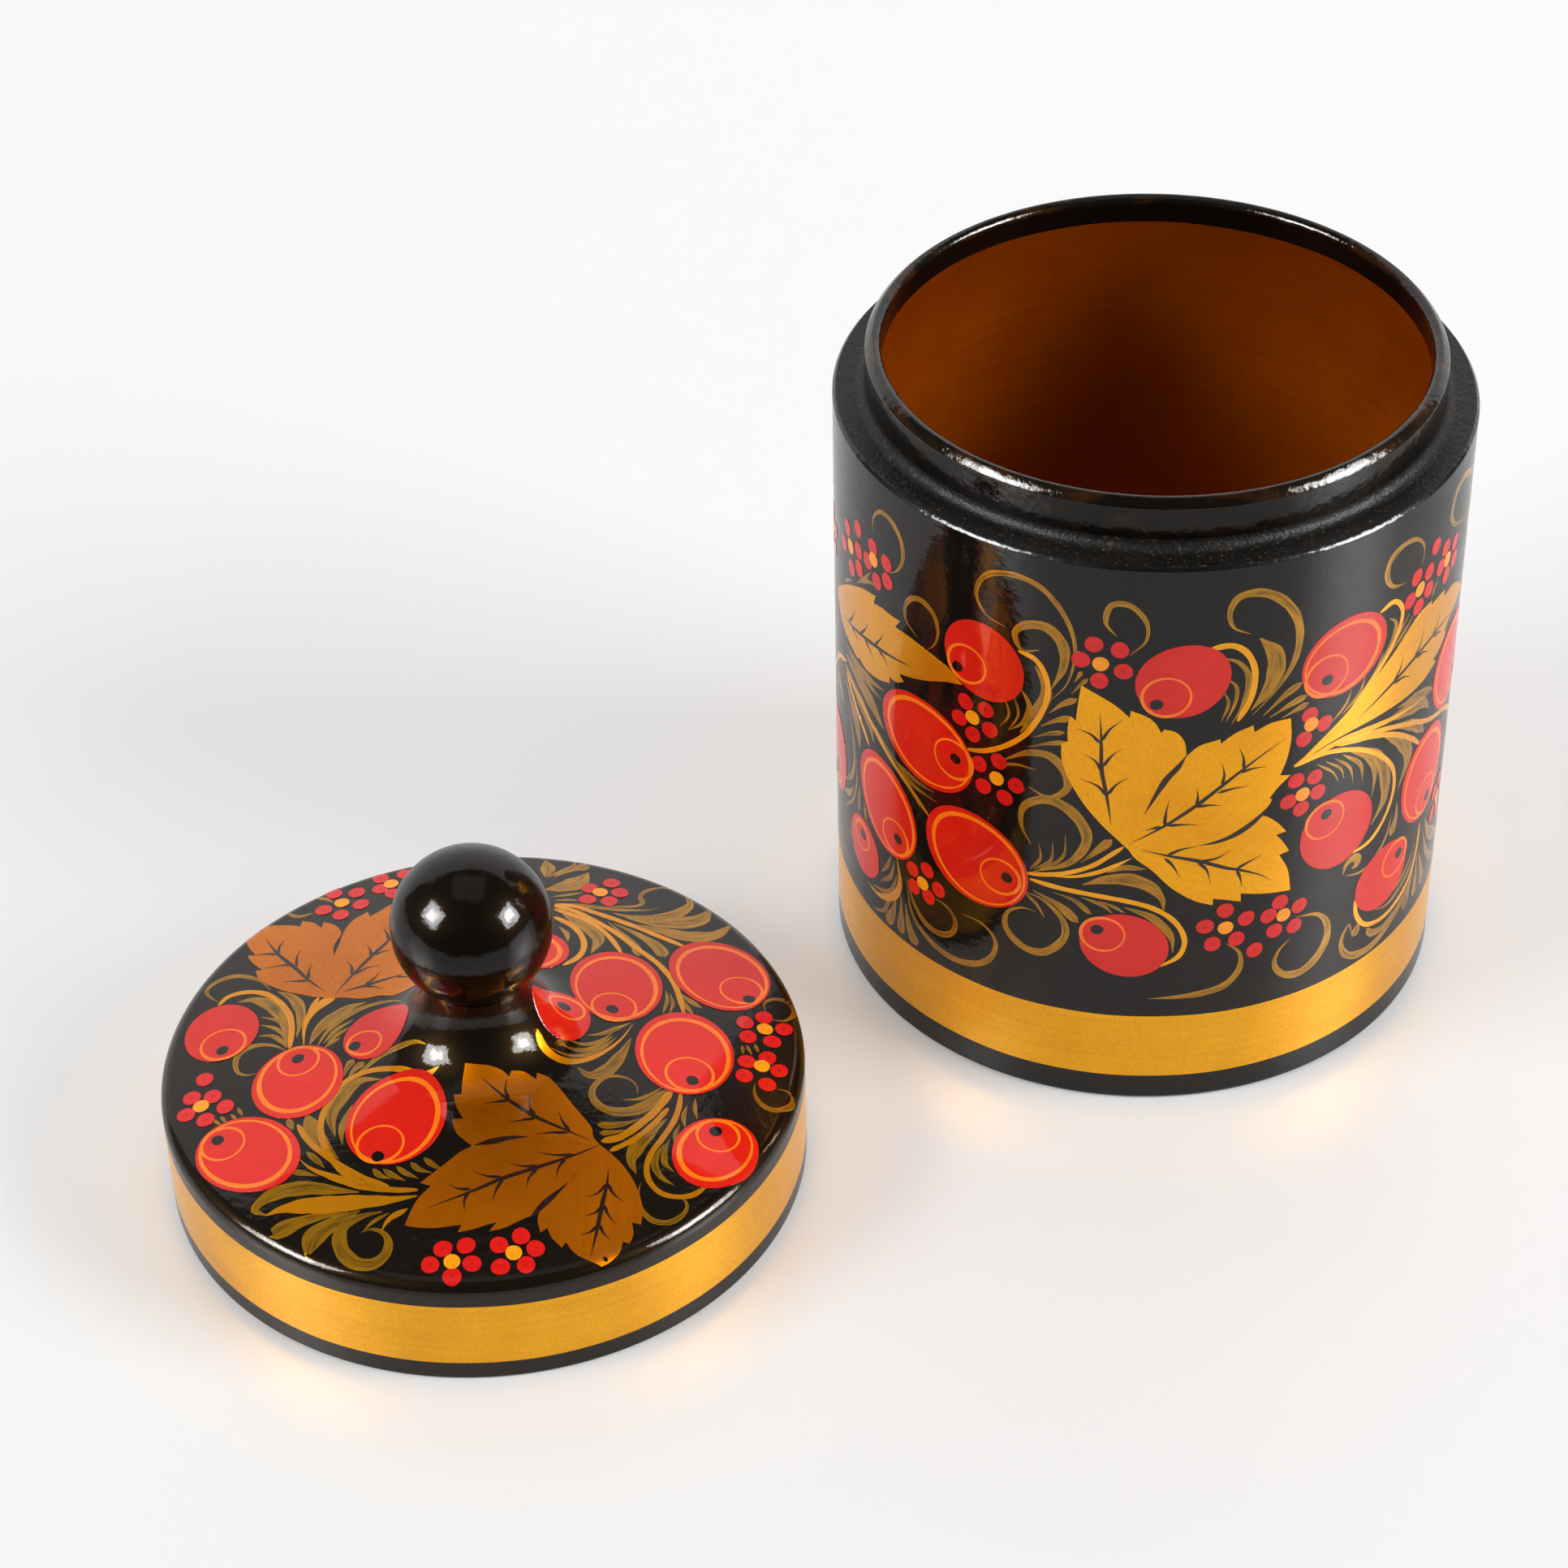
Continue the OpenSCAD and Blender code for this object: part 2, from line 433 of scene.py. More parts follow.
def lathe(name, x, y, runs, materials):
    """A closed turned solid round the upright axis at (x, y), from the runs of its section."""
    rings = []
    strips = []
    for points, material in runs:
        before = None
        for k, (r, z, nr, nz, sway) in enumerate(points):
            if k == 0 and rings:
                here = len(rings) - 1
                rings[here] = (r, z, max(sway, rings[here][2]))
            else:
                rings.append((r, z, sway))
                here = len(rings) - 1
            if before:
                strips.append((before, (here, nr, nz), material))
            before = (here, nr, nz)
    points = []
    first = []
    for r, z, sway in rings:
        first.append(len(points))
        if r < ON_AXIS:
            points.append((x, y, z))
            continue
        for j in range(TURNS):
            a = 2 * math.pi * j / TURNS + QUARTER
            points.append((x + r * math.cos(a), y + r * math.sin(a), z + sway * hand_waver(a)))
    faces = []
    normals = []
    slots = []
    for (low, lr, lz), (high, hr, hz), material in strips:
        for j in range(TURNS):
            after = (j + 1) % TURNS
            corners = []
            around = ((low, lr, lz, j), (low, lr, lz, after), (high, hr, hz, after), (high, hr, hz, j))
            for ring, nr, nz, column in around:
                pole = rings[ring][0] < ON_AXIS
                index = first[ring] + (0 if pole else column)
                if corners and any(index == c[0] for c in corners):
                    continue
                a = 2 * math.pi * column / TURNS + QUARTER
                corners.append((index, (nr * math.cos(a), nr * math.sin(a), nz)))
            faces.append(tuple(c[0] for c in corners))
            normals.extend(c[1] for c in corners)
            slots.append(material)
    return make_mesh(name, points, faces, normals, materials, slots)


def soft_corner(r, z, reach, material):
    """An outer corner rubbed by hand: a nearly flat facet between two tight rounds."""
    low, high = math.radians(FACET[0]), math.radians(FACET[1])
    facet = 3.6 * reach
    tight = 0.3 * reach
    wide = tight * (1 - math.cos(low)) + facet * (math.cos(low) - math.cos(high)) + tight * math.cos(high)
    tall = tight * math.sin(low) + facet * (math.sin(high) - math.sin(low)) + tight * (1 - math.sin(high))
    foot, inner = z - tall, r - wide
    facet_r = r - tight + (tight - facet) * math.cos(low)
    facet_z = foot + (tight - facet) * math.sin(low)
    runs = [
        round_run(r - tight, foot, tight, 0, FACET[0], 4, material=material),
        round_run(facet_r, facet_z, facet, *FACET, 7, material=material),
        round_run(inner, z - tight, tight, FACET[1], 90, 4, material=material),
    ]
    return runs, foot, inner


# Where each finish is in a shell's list of materials: seven on the jar, the first three of them on the lid.
PLAIN, GILT, DULLED, RUBBED, LINED, RIM, COLLAR = range(7)
KNOB_DULLED = 1
shoulder, shoulder_foot, shoulder_in = soft_corner(BODY_R, SHOULDER_H, SHOULDER_RUB, RUBBED)
rim, rim_foot, rim_in = soft_corner(COLLAR_R, RIM_H, RIM_ROUND, RIM)
jar_runs = [
    straight(0, 0, BODY_R - FOOT_ROUND, 0, 8, DULLED),
    round_run(BODY_R - FOOT_ROUND, FOOT_ROUND, FOOT_ROUND, -90, 0, 6),
    straight(BODY_R, FOOT_ROUND, BODY_R, JAR_BAND[0], 2, PLAIN, (0, BAND_WAVER)),
    straight(BODY_R, JAR_BAND[0], BODY_R, JAR_BAND[1], 4, GILT, (BAND_WAVER, BAND_WAVER)),
    straight(BODY_R, JAR_BAND[1], BODY_R, shoulder_foot, 24, PLAIN, (BAND_WAVER, 0)),
    *shoulder,
    straight(shoulder_in, SHOULDER_H, FILLET_R, SHOULDER_H, 3, DULLED),
    round_run(FILLET_R, SHOULDER_H + COLLAR_FILLET, COLLAR_FILLET, 270, 180, 8, True, DULLED),
    straight(COLLAR_R, SHOULDER_H + COLLAR_FILLET, COLLAR_R, rim_foot, 4, COLLAR),
    *rim,
    straight(rim_in, RIM_H, MOUTH_R + RIM_ROUND, RIM_H, material=RIM),
    round_run(MOUTH_R + RIM_ROUND, RIM_H - RIM_ROUND, RIM_ROUND, 90, 180, 8, material=RIM),
    straight(MOUTH_R, RIM_H - RIM_ROUND, MOUTH_R, LINING_TOP, 2, PLAIN, (0, BAND_WAVER)),
    straight(MOUTH_R, LINING_TOP, MOUTH_R, FLOOR_T + FLOOR_ROUND, 24, LINED, (BAND_WAVER, 0)),
    round_run(MOUTH_R - FLOOR_ROUND, FLOOR_T + FLOOR_ROUND, FLOOR_ROUND, 0, -90, 10, True, LINED),
    straight(MOUTH_R - FLOOR_ROUND, FLOOR_T, 0, FLOOR_T, 8, LINED),
]
lid_runs = [
    straight(0, SOCKET_DEPTH, SOCKET_R - SOCKET_ROUND, SOCKET_DEPTH, 8, DULLED),
    round_run(SOCKET_R - SOCKET_ROUND, SOCKET_DEPTH - SOCKET_ROUND, SOCKET_ROUND, 90, 0, 6, True, DULLED),
    straight(SOCKET_R, SOCKET_DEPTH - SOCKET_ROUND, SOCKET_R, SOCKET_BEVEL, 3, DULLED),
    straight(SOCKET_R, SOCKET_BEVEL, SOCKET_R + SOCKET_BEVEL, 0, 2, DULLED),
    straight(SOCKET_R + SOCKET_BEVEL, 0, LID_R - LID_FOOT_ROUND, 0, 1, DULLED),
    round_run(LID_R - LID_FOOT_ROUND, LID_FOOT_ROUND, LID_FOOT_ROUND, -90, 0, 5),
    straight(LID_R, LID_FOOT_ROUND, LID_R, LID_BAND[0], 2, PLAIN, (0, BAND_WAVER)),
    straight(LID_R, LID_BAND[0], LID_R, LID_BAND[1], 4, GILT, (BAND_WAVER, BAND_WAVER)),
    straight(LID_R, LID_BAND[1], LID_R, SIDE_H, 2, PLAIN, (BAND_WAVER, 0)),
    round_run(EDGE_X, SIDE_H, EDGE_ROUND, 0, 90 - math.degrees(SLOPE), 10),
    straight(EDGE_TOP_R, EDGE_TOP_Z, FLARE_FOOT_R, FLARE_FOOT_Z, 20),
    round_run(FLARE_X, NECK_H, FLARE_R, 270 - math.degrees(SLOPE), 180, 28, True),
    straight(NECK_R, NECK_H, TENON_R, NECK_H, 2),
    straight(TENON_R, NECK_H, TENON_R, TENON_HOLE, 3, DULLED),
    straight(TENON_R, TENON_HOLE, 0, TENON_HOLE, 2, DULLED),
]
seat_angle = math.degrees(math.asin((NECK_H - KNOB_Z) / KNOB_R))
knob_runs = [
    straight(0, TENON_END, TENON_R, TENON_END, 2, KNOB_DULLED),
    straight(TENON_R, TENON_END, TENON_R, NECK_H, 3, KNOB_DULLED),
    straight(TENON_R, NECK_H, SEAT_R, NECK_H, 1, KNOB_DULLED),
    round_run(0, KNOB_Z, KNOB_R, seat_angle, 90, 48),
]
jar_shell = lathe("jar_shell", 0, 0, jar_runs, [BLACK, BAND, DULL, WORN, LINING, RIM_BLACK, COLLAR_BLACK])
lid_shell = lathe("lid_shell", LID_X, LID_Y, lid_runs, [LID_BLACK, BAND, DULL])
knob_ball = lathe("knob_ball", LID_X, LID_Y, knob_runs, [KNOB_BLACK, DULL])
for piece, body, node, slot in (
    (jar_shell, "jar", "jar", "jar_lacquer"),
    (lid_shell, "lid", "lid", "lid_lacquer"),
    (knob_ball, "lid", "knob", "knob_lacquer"),
):
    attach(piece, body)
    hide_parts(node)


# ---------------------------------------------------------------- painted films
def wall_at(flat, lift):
    """Points on the jar's wall from (arc length to the right of its front line, height)."""
    a = flat[:, 0] / BODY_R
    normal = np.stack([np.sin(a), -np.cos(a), np.zeros_like(a)], 1)
    point = normal * (BODY_R + lift)[:, None]
    point[:, 2] = flat[:, 1]
    return point, normal


def lid_at(flat, lift):
    """Points on the lid's top from (right, back) of its axis: on the flare, the slope or the round edge."""
    r = np.clip(np.hypot(flat[:, 0], flat[:, 1]), NECK_R + 0.05, LID_R - 0.12)
    out = flat / np.maximum(np.hypot(flat[:, 0], flat[:, 1]), 1e-6)[:, None]
    in_flare = np.clip(FLARE_X - r, 0, FLARE_R)
    flare_drop = np.sqrt(FLARE_R**2 - in_flare**2)
    in_edge = np.clip(r - EDGE_X, 0, EDGE_ROUND)
    edge_rise = np.sqrt(EDGE_ROUND**2 - in_edge**2)
    z = FLARE_FOOT_Z - (r - FLARE_FOOT_R) * math.tan(SLOPE)
    nr = np.full_like(r, math.sin(SLOPE))
    nz = np.full_like(r, math.cos(SLOPE))
    flare = r < FLARE_FOOT_R
    edge = r > EDGE_TOP_R
    z[flare] = NECK_H - flare_drop[flare]
    nr[flare] = in_flare[flare] / FLARE_R
    nz[flare] = flare_drop[flare] / FLARE_R
    z[edge] = SIDE_H + edge_rise[edge]
    nr[edge] = in_edge[edge] / EDGE_ROUND
    nz[edge] = edge_rise[edge] / EDGE_ROUND
    normal = np.stack([out[:, 0] * nr, out[:, 1] * nr, nz], 1)
    point = np.stack([out[:, 0] * r + LID_X, out[:, 1] * r + LID_Y, z], 1)
    return point + normal * lift[:, None], normal


# A film reaches SINK under the lacquer, and each later patch of a colour lies STEP_UP above the one before.
SINK = 0.02
STEP_UP = 0.00005
STROKE_NUMBERS = 40
LONGEST_STEP = 0.8
LANE_W = 0.4
HAIR_W = 0.07
HAND_SHAKE = 0.05
# Rows of points as far apart as in a net of equal triangles.
ROW = 0.866

VEIN_W = 0.62
CURL_CLOSING = 0.45
EDGE_LINE_W = 0.52
EDGE_LINE_INSET = 0.95
EDGE_LINE_LEAN = 0.5
RING_W = 0.4
EYE_SIZE = (1.8, 1.75)
PETAL_SIZE = (2.55, 2.65)
HEART_SIZE = (2.3, 2.35)


class Film:
    """All the painted patches of one colour on one surface: thin closed skins just proud of it."""

    def __init__(self, name, surface, lift, material, cell):
        self.name = name
        self.surface = surface
        self.lift = lift
        self.material = material
        self.cell = cell
        self.flat = []
        self.lifts = []
        self.brush = []
        self.edge = []
        self.faces = []
        self.count = 0
        self.patches = 0

    def patch(self, flat, faces, brush, shift=0.0, edge=None):
        flat = np.array(flat, float)
        self.edge.append(np.zeros(len(flat)) if edge is None else edge)
        flat[:, 0] += shift
        number = dice.random() * STROKE_NUMBERS
        self.flat.append(flat)
        self.lifts.append(np.full(len(flat), self.lift + STEP_UP * self.patches))
        self.brush.append(np.column_stack([brush, np.full(len(flat), number)]))
        self.faces.extend(tuple(int(i) + self.count for i in face) for face in faces)
        self.count += len(flat)
        self.patches += 1

    def build(self, body, slot):
        flat = np.vstack(self.flat)
        lift = np.concatenate(self.lifts)
        brush = np.vstack(self.brush)
        edge = np.concatenate(self.edge)
        top, normal = self.surface(flat, lift)
        under = top - normal * (lift + SINK)[:, None]
        edges = {}
        for face in self.faces:
            for a, b in zip(face, face[1:] + face[:1]):
                edges[(a, b)] = True
        rim = [(a, b) for a, b in edges if (b, a) not in edges]
        n = self.count
        faces = list(self.faces)
        corner = [normal[i] for face in self.faces for i in face]
        for face in self.faces:
            faces.append(tuple(i + n for i in reversed(face)))
            corner.extend(-normal[i] for i in reversed(face))
        for a, b in rim:
            faces.append((a + n, b + n, b, a))
            corner.extend((normal[a], normal[b], normal[b], normal[a]))
        points = np.vstack([top, under])
        piece = make_mesh(self.name, points, faces, corner, [self.material], None,
                          np.vstack([brush, brush]), np.concatenate([edge, edge]))
        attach(piece, body)


def smooth(points, step, closed=False):
    """A smooth line through the points, with a point every step or less."""
    p = np.array([q[:2] for q in points], float)
    if closed:
        p = np.vstack([p[-1], p, p[:2]])
    else:
        p = np.vstack([2 * p[0] - p[1], p, 2 * p[-1] - p[-2]])
    out = []
    for a, b, c, d in zip(p, p[1:], p[2:], p[3:]):
        gaps = [max(float(np.linalg.norm(v)), 1e-4) ** 0.5 for v in (b - a, c - b, d - c)]
        t = np.cumsum([0.0] + gaps)
        count = max(2, math.ceil(float(np.linalg.norm(c - b)) / step))
        u = (t[1] + (t[2] - t[1]) * np.arange(count) / count)[:, None]
        ab = ((t[1] - u) * a + (u - t[0]) * b) / (t[1] - t[0])
        bc = ((t[2] - u) * b + (u - t[1]) * c) / (t[2] - t[1])
        cd = ((t[3] - u) * c + (u - t[2]) * d) / (t[3] - t[2])
        abc = ((t[2] - u) * ab + (u - t[0]) * bc) / (t[2] - t[0])
        bcd = ((t[3] - u) * bc + (u - t[1]) * cd) / (t[3] - t[1])
        out.append(((t[2] - u) * abc + (u - t[1]) * bcd) / (t[2] - t[1]))
    if not closed:
        out.append(p[-2:-1])
    return np.vstack(out)


def width_along(share, peak):
    """How wide a brush stroke is along its length. peak is where it is widest; None keeps it even."""
    if peak is None:
        ends = np.minimum(share / 0.06, (1 - share) / 0.1)
        return 0.35 + 0.65 * np.clip(ends, 0, 1) ** 0.6
    rising = np.clip(share / peak, 0, 1)
    falling = np.clip((1 - share) / (1 - peak), 0, 1)
    if peak > 0.7:
        return np.where(share < peak, 0.10 + 0.90 * rising**1.25, np.sqrt(1 - (1 - falling) ** 2) ** 0.9)
    if peak < 0.3:
        return np.where(share < peak, np.sqrt(1 - (1 - rising) ** 2) ** 0.9, 0.08 + 0.92 * falling**1.25)
    swell = np.where(share < peak, np.sin(rising * QUARTER), np.sin(falling * QUARTER))
    return 0.06 + 0.94 * swell**1.1


def stroke(film, width, peak, points, shift=0.0, closed=False, swing=0.0):
    """One brush stroke along the points. A closed one is a ring, wider on one side by the share swing."""
    line = smooth(points, min(film.cell, LONGEST_STEP), closed)
    after = np.roll(line, -1, 0) if closed else line[1:]
    before = line if closed else line[:-1]
    gaps = np.linalg.norm(after - before, axis=1)
    run = np.concatenate([[0], np.cumsum(gaps)])
    if closed:
        tangent = np.roll(line, -1, 0) - np.roll(line, 1, 0)
        share = run[:-1] / run[-1]
        half = width / 2 * (1 + swing * np.cos(2 * math.pi * share))
        run = run[:-1]
    else:
        tangent = np.gradient(line, axis=0)
        share = run / run[-1]
        half = width / 2 * width_along(share, peak)
    half = np.maximum(half * (1 + HAND_SHAKE * np.sin(run * 1.7 + dice.random() * 6)), HAIR_W / 2)
    tangent = tangent / np.maximum(np.linalg.norm(tangent, axis=1), 1e-9)[:, None]
    side = np.stack([-tangent[:, 1], tangent[:, 0]], 1)
    lanes = max(2, math.ceil(width / min(film.cell, LANE_W)))
    across = np.linspace(-1, 1, lanes + 1)
    spread = half[:, None] * across[None, :]
    flat = line[:, None, :] + side[:, None, :] * spread[:, :, None]
    brush = np.stack([np.broadcast_to(run[:, None], spread.shape), spread], 2)
    rows = len(line)
    faces = []
    for i in range(rows if closed else rows - 1):
        j = (i + 1) % rows
        for k in range(lanes):
            a, b = i * (lanes + 1) + k, j * (lanes + 1) + k
            faces.append((a, b, b + 1, a + 1))
    film.patch(flat.reshape(-1, 2), faces, brush.reshape(-1, 2), shift, np.tile(np.abs(across), rows))


def blob(film, x, y, wide, high, tilt=0.0, shift=0.0, waver=0.012):
    """A filled round dab, a little out of true."""
    sides = max(14, int(math.pi * max(wide, high) / film.cell * 0.9))
    rings = max(1, math.ceil(min(wide, high) / 2 / film.cell))
    phase = dice.random() * 6
    lean = math.radians(tilt)
    points = [(0.0, 0.0)]
    for k in range(1, rings + 1):
        for j in range(sides):
            a = 2 * math.pi * j / sides
            bulge = 1 + waver * (math.sin(2 * a + phase) + 0.6 * math.sin(3 * a + 2 * phase))
            out = bulge * k / rings
            points.append((wide / 2 * math.cos(a) * out, high / 2 * math.sin(a) * out))
    local = np.array(points)
    turn = np.array([[math.cos(lean), math.sin(lean)], [-math.sin(lean), math.cos(lean)]])
    faces = [(0, 1 + j, 1 + (j + 1) % sides) for j in range(sides)]
    for k in range(rings - 1):
        for j in range(sides):
            a = 1 + k * sides + j
            b = 1 + k * sides + (j + 1) % sides
            faces.append((a, a + sides, b + sides, b))
    film.patch(local @ turn + (x, y), faces, local, shift)


def oval(x, y, wide, high, tilt, start=0.0, count=24):
    """Points round an oval, from the angle start."""
    c, s = math.cos(math.radians(tilt)), math.sin(math.radians(tilt))
    points = []
    for k in range(count):
        a = 2 * math.pi * k / count + start
        u, v = wide / 2 * math.cos(a), high / 2 * math.sin(a)
        points.append((x + u * c - v * s, y + u * s + v * c))
    return points


def berry(films, x, y, wide, high, tilt, lined, ring, eye, shift=0.0):
    """A red berry with a small orange ring and a black eye. A lined one also has a line along its edge."""
    blob(films["berries"], x, y, wide, high, tilt, shift)
    rx, ry, rr = ring
    toward = math.atan2(ry - y, rx - x)
    if lined:
        cx, cy = x + EDGE_LINE_LEAN * math.cos(toward), y + EDGE_LINE_LEAN * math.sin(toward)
        inset = 2 * EDGE_LINE_INSET
        line = oval(cx, cy, wide - inset, high - inset, tilt, toward - math.radians(tilt) + 2.4)
        stroke(films["lines"], EDGE_LINE_W, None, line, shift, True, 0.42)
    stroke(films["lines"], RING_W, None, oval(rx, ry, 2 * rr, 1.94 * rr, 0, toward), shift, True, 0.3)
    blob(films["eyes"], *eye, *EYE_SIZE, 0, shift, 0.04)


def floret(films, heart, petals, shift=0.0):
    """Red dabs round a yellow one."""
    for x, y in petals:
        blob(films["petals"], x, y, *PETAL_SIZE, 0, shift, 0.03)
    blob(films["hearts"], *heart, *HEART_SIZE, 0, shift, 0.02)


def inside(points, outline):
    """Which points are inside a closed outline."""
    result = np.zeros(len(points), bool)
    ends = np.roll(outline, -1, 0)
    for (x0, y0), (x1, y1) in zip(outline, ends):
        if y0 == y1:
            continue
        crosses = (y0 > points[:, 1]) != (y1 > points[:, 1])
        at = (x1 - x0) * (points[:, 1] - y0) / (y1 - y0) + x0
        result ^= crosses & (points[:, 0] < at)
    return result


def leaflet(film, corners, shift=0.0):
    """A filled outline. A corner with a third value is sharp; the line bends smoothly through the others."""
    sharp = [k for k, c in enumerate(corners) if len(c) > 2]
    runs = []
    for a, b in zip(sharp, sharp[1:] + [sharp[0] + len(corners)]):
        part = [corners[k % len(corners)] for k in range(a, b + 1)]
        runs.append(smooth(part, film.cell * 0.75)[:-1])
    outline = np.vstack(runs)
    after = np.roll(outline, -1, 0)
    if np.sum(outline[:, 0] * after[:, 1] - after[:, 0] * outline[:, 1]) < 0:
        outline = outline[::-1]
    low, high = outline.min(0), outline.max(0)
    across = np.arange(low[0], high[0], film.cell)
    up = np.arange(low[1], high[1], film.cell * ROW)
    grid = np.array([(x + (j % 2) * film.cell / 2, y) for j, y in enumerate(up) for x in across])
    grid = grid[inside(grid, outline)]
    gap = np.sqrt(((grid[:, None, :] - outline[None, :, :]) ** 2).sum(2)).min(1)
    grid = grid[gap > film.cell * 0.5]
    everything = [Vector(p) for p in np.vstack([outline, grid])]
    found = delaunay_2d_cdt(everything, [], [list(range(len(outline)))], 1, 1e-5)
    flat = np.array([tuple(v) for v in found[0]])
    faces = []
    for a, b, c in found[2]:
        turn = np.cross(flat[b] - flat[a], flat[c] - flat[a])
        if abs(turn) > 1e-7:
            faces.append((a, b, c) if turn > 0 else (a, c, b))
    base = np.array(corners[0][:2], float)
    tip = flat[np.argmax(np.linalg.norm(flat - base, axis=1))]
    axis = (tip - base) / np.linalg.norm(tip - base)
    local = flat - base
    brush = np.stack([local @ axis, local @ np.array([-axis[1], axis[0]])], 1)
    film.patch(flat, faces, brush, shift)


def veins(film, lines, shift=0.0):
    """A midrib and its side veins, or, where there are two lines, the broad dark gaps between leaflets."""
    for number, line in enumerate(lines):
        if len(lines) == 2:
            stroke(film, 1.5 * VEIN_W, 0.35, line, shift)
        elif number == 0:
            stroke(film, VEIN_W, 0.45, line, shift)
        else:
            stroke(film, 0.86 * VEIN_W, 0.22, line, shift)


def curl(film, width, x, y, radius, start, winding, shift=0.0):
    """A tendril that winds in from radius, by its first angle and how far it winds, in degrees."""
    points = []
    for k in range(9):
        share = k / 8
        a = math.radians(start + winding * share)
        r = radius * (1 - CURL_CLOSING * share)
        points.append((x + r * math.cos(a), y + r * math.sin(a)))
    stroke(film, width, 0.35, points, shift)


def make_films(prefix, surface, cell, step, leaf, stem):
    """The layers of paint on one surface, lowest first, each a step or so above the one before."""
    layers = (
        ("grass", 1.0, OLIVE),
        ("stems", 2.6, stem),
        ("leaves", 3.7, leaf),
        ("veins", 4.5, VEIN),
        ("petals", 5.1, PETAL),
        ("berries", 5.7, BERRY),
        ("lines", 6.7, LINE),
        ("hearts", 6.7, HEART),
        ("eyes", 7.6, EYE),
    )
    films = {}
    for key, rank, colour in layers:
        films[key] = Film(prefix + "_" + key, surface, rank * step, colour, cell)
    return films


# ---------------------------------------------------------------- ornament of the jar
# x is the arc to the right of the front line and y the height, in millimetres. A berry holds its centre,
# size and tilt, whether a line follows its edge, the ring's centre and radius, and the eye. A floret holds
# its heart and its petals. A leaflet's outline has a 1 at each sharp corner. A stem or a blade of grass
# holds its width, how far along it is widest (None where it is even) and its points.
WALL_BERRIES = (
    (-27.4, 74, 13.3, 12, -38, False, (-30, 72.5, 3.1), (-31.5, 71.4)),
    (0.7, 75.8, 13.2, 11.8, 33, False, (-1.5, 73.2, 3.3), (-2.8, 72)),
    (24.6, 74.7, 14.5, 12.8, 14, True, (21.5, 72.4, 3.4), (21.6, 71.7)),
    (-37.7, 55.2, 18, 14.6, -9, True, (-32.1, 55, 3.3), (-31.7, 55.3)),
    (-46.3, 38.5, 16.8, 14, -58, True, (-43.8, 34.2, 3), (-43.1, 34.3)),
    (-28.4, 39.1, 17.7, 15.5, -32, True, (-24.1, 37.5, 3.1), (-23, 37.7)),
    (-52.9, 26.2, 9.8, 9.9, 0, False, (-53.4, 27.9, 2.4), (-53, 28.3)),
    (-5.7, 29.2, 12.7, 11.4, -22, False, (-8.8, 31, 3.1), (-9.6, 31.8)),
    (25.7, 43.8, 13.5, 12.7, -53, False, (23.2, 46.7, 3.2), (23.3, 47.7)),
    (36.4, 29.6, 12.2, 11.4, -2, False, (39.2, 31.2, 3.1), (40.1, 31.5)),
    (46.6, 42, 16.3, 14.4, -78, True, (47.6, 37.4, 3.2), (48.5, 36.4)),
    (54.7, 57, 17, 15, -25, True, (57.6, 53, 3.3), (58.2, 52.4)),
    (-65.7, 35, 11, 14, 0, False, (-66.5, 31.6, 3), (-66.9, 31)),
)
WALL_FLORETS = (
    ((-56.9, 77.2), ((-58.2, 79.5), (-60, 75.8), (-56.6, 73.7), (-53.7, 75.5), (-53.9, 78.4), (-54, 82))),
    ((-49.2, 79.8), ((-49.4, 81.8), (-50.9, 78.6), (-48.3, 76.7), (-45.6, 78.3), (-45.8, 81.2))),
    ((-28.9, 63.8), ((-30.1, 66), (-31.1, 62.8), (-28.8, 60.9), (-26.1, 62.8), (-26.8, 66))),
    ((-24.9, 54.8), ((-24.6, 57.9), (-27.7, 56.2), (-27, 52.6), (-23.6, 51.9), (-21.9, 54.6))),
    ((-10.5, 78.2), ((-11.5, 81.3), (-8, 80.8), (-13.2, 78.5), (-7.4, 77.3), (-10.6, 75.4))),
    ((8.6, 31.7), ((8.4, 34.9), (11.6, 32.8), (10.3, 29.3), (6.8, 29), (5.6, 32.4))),
    ((17.4, 31.7), ((16.7, 34.3), (19.9, 32.5), (19.3, 29), (16.1, 29.2), (15, 32.3), (13.2, 26.5))),
    ((-37.7, 29.4), ((-36.8, 32.4), (-34.6, 30), (-36.5, 27.6), (-39.5, 27.7), (-39.8, 30.8))),
    ((19.5, 64.9), ((19.2, 66.6), (21.7, 64.3), (18.5, 62.7))),
    ((19, 52.9), ((17.8, 55.7), (20.8, 55.3), (21.5, 52.4), (18.9, 50.4), (16.8, 52.3))),
    ((38.9, 78.7), ((37.8, 81.3), (41.1, 80.4), (41.4, 77.3), (38.9, 75.8), (36.6, 78))),
    ((46.9, 79), ((46, 81.5), (49.7, 80.2), (49.9, 77.3), (47, 76.3), (44.6, 79), (42.5, 83.8))),
    ((55.2, 31.2), ((53, 33.6), (56.2, 34.1), (58, 31.4), (55.9, 28.6), (52.6, 29.9))),
    ((72.3, 72.3), ((72.1, 75.2), (75.1, 73.5), (74.2, 70), (70.6, 69.9), (69.6, 73.1))),
    ((68.4, 30.2), ((68.6, 33.1), (71.1, 31), (70.2, 27.6), (66.7, 27.4), (65.7, 30.8))),
)
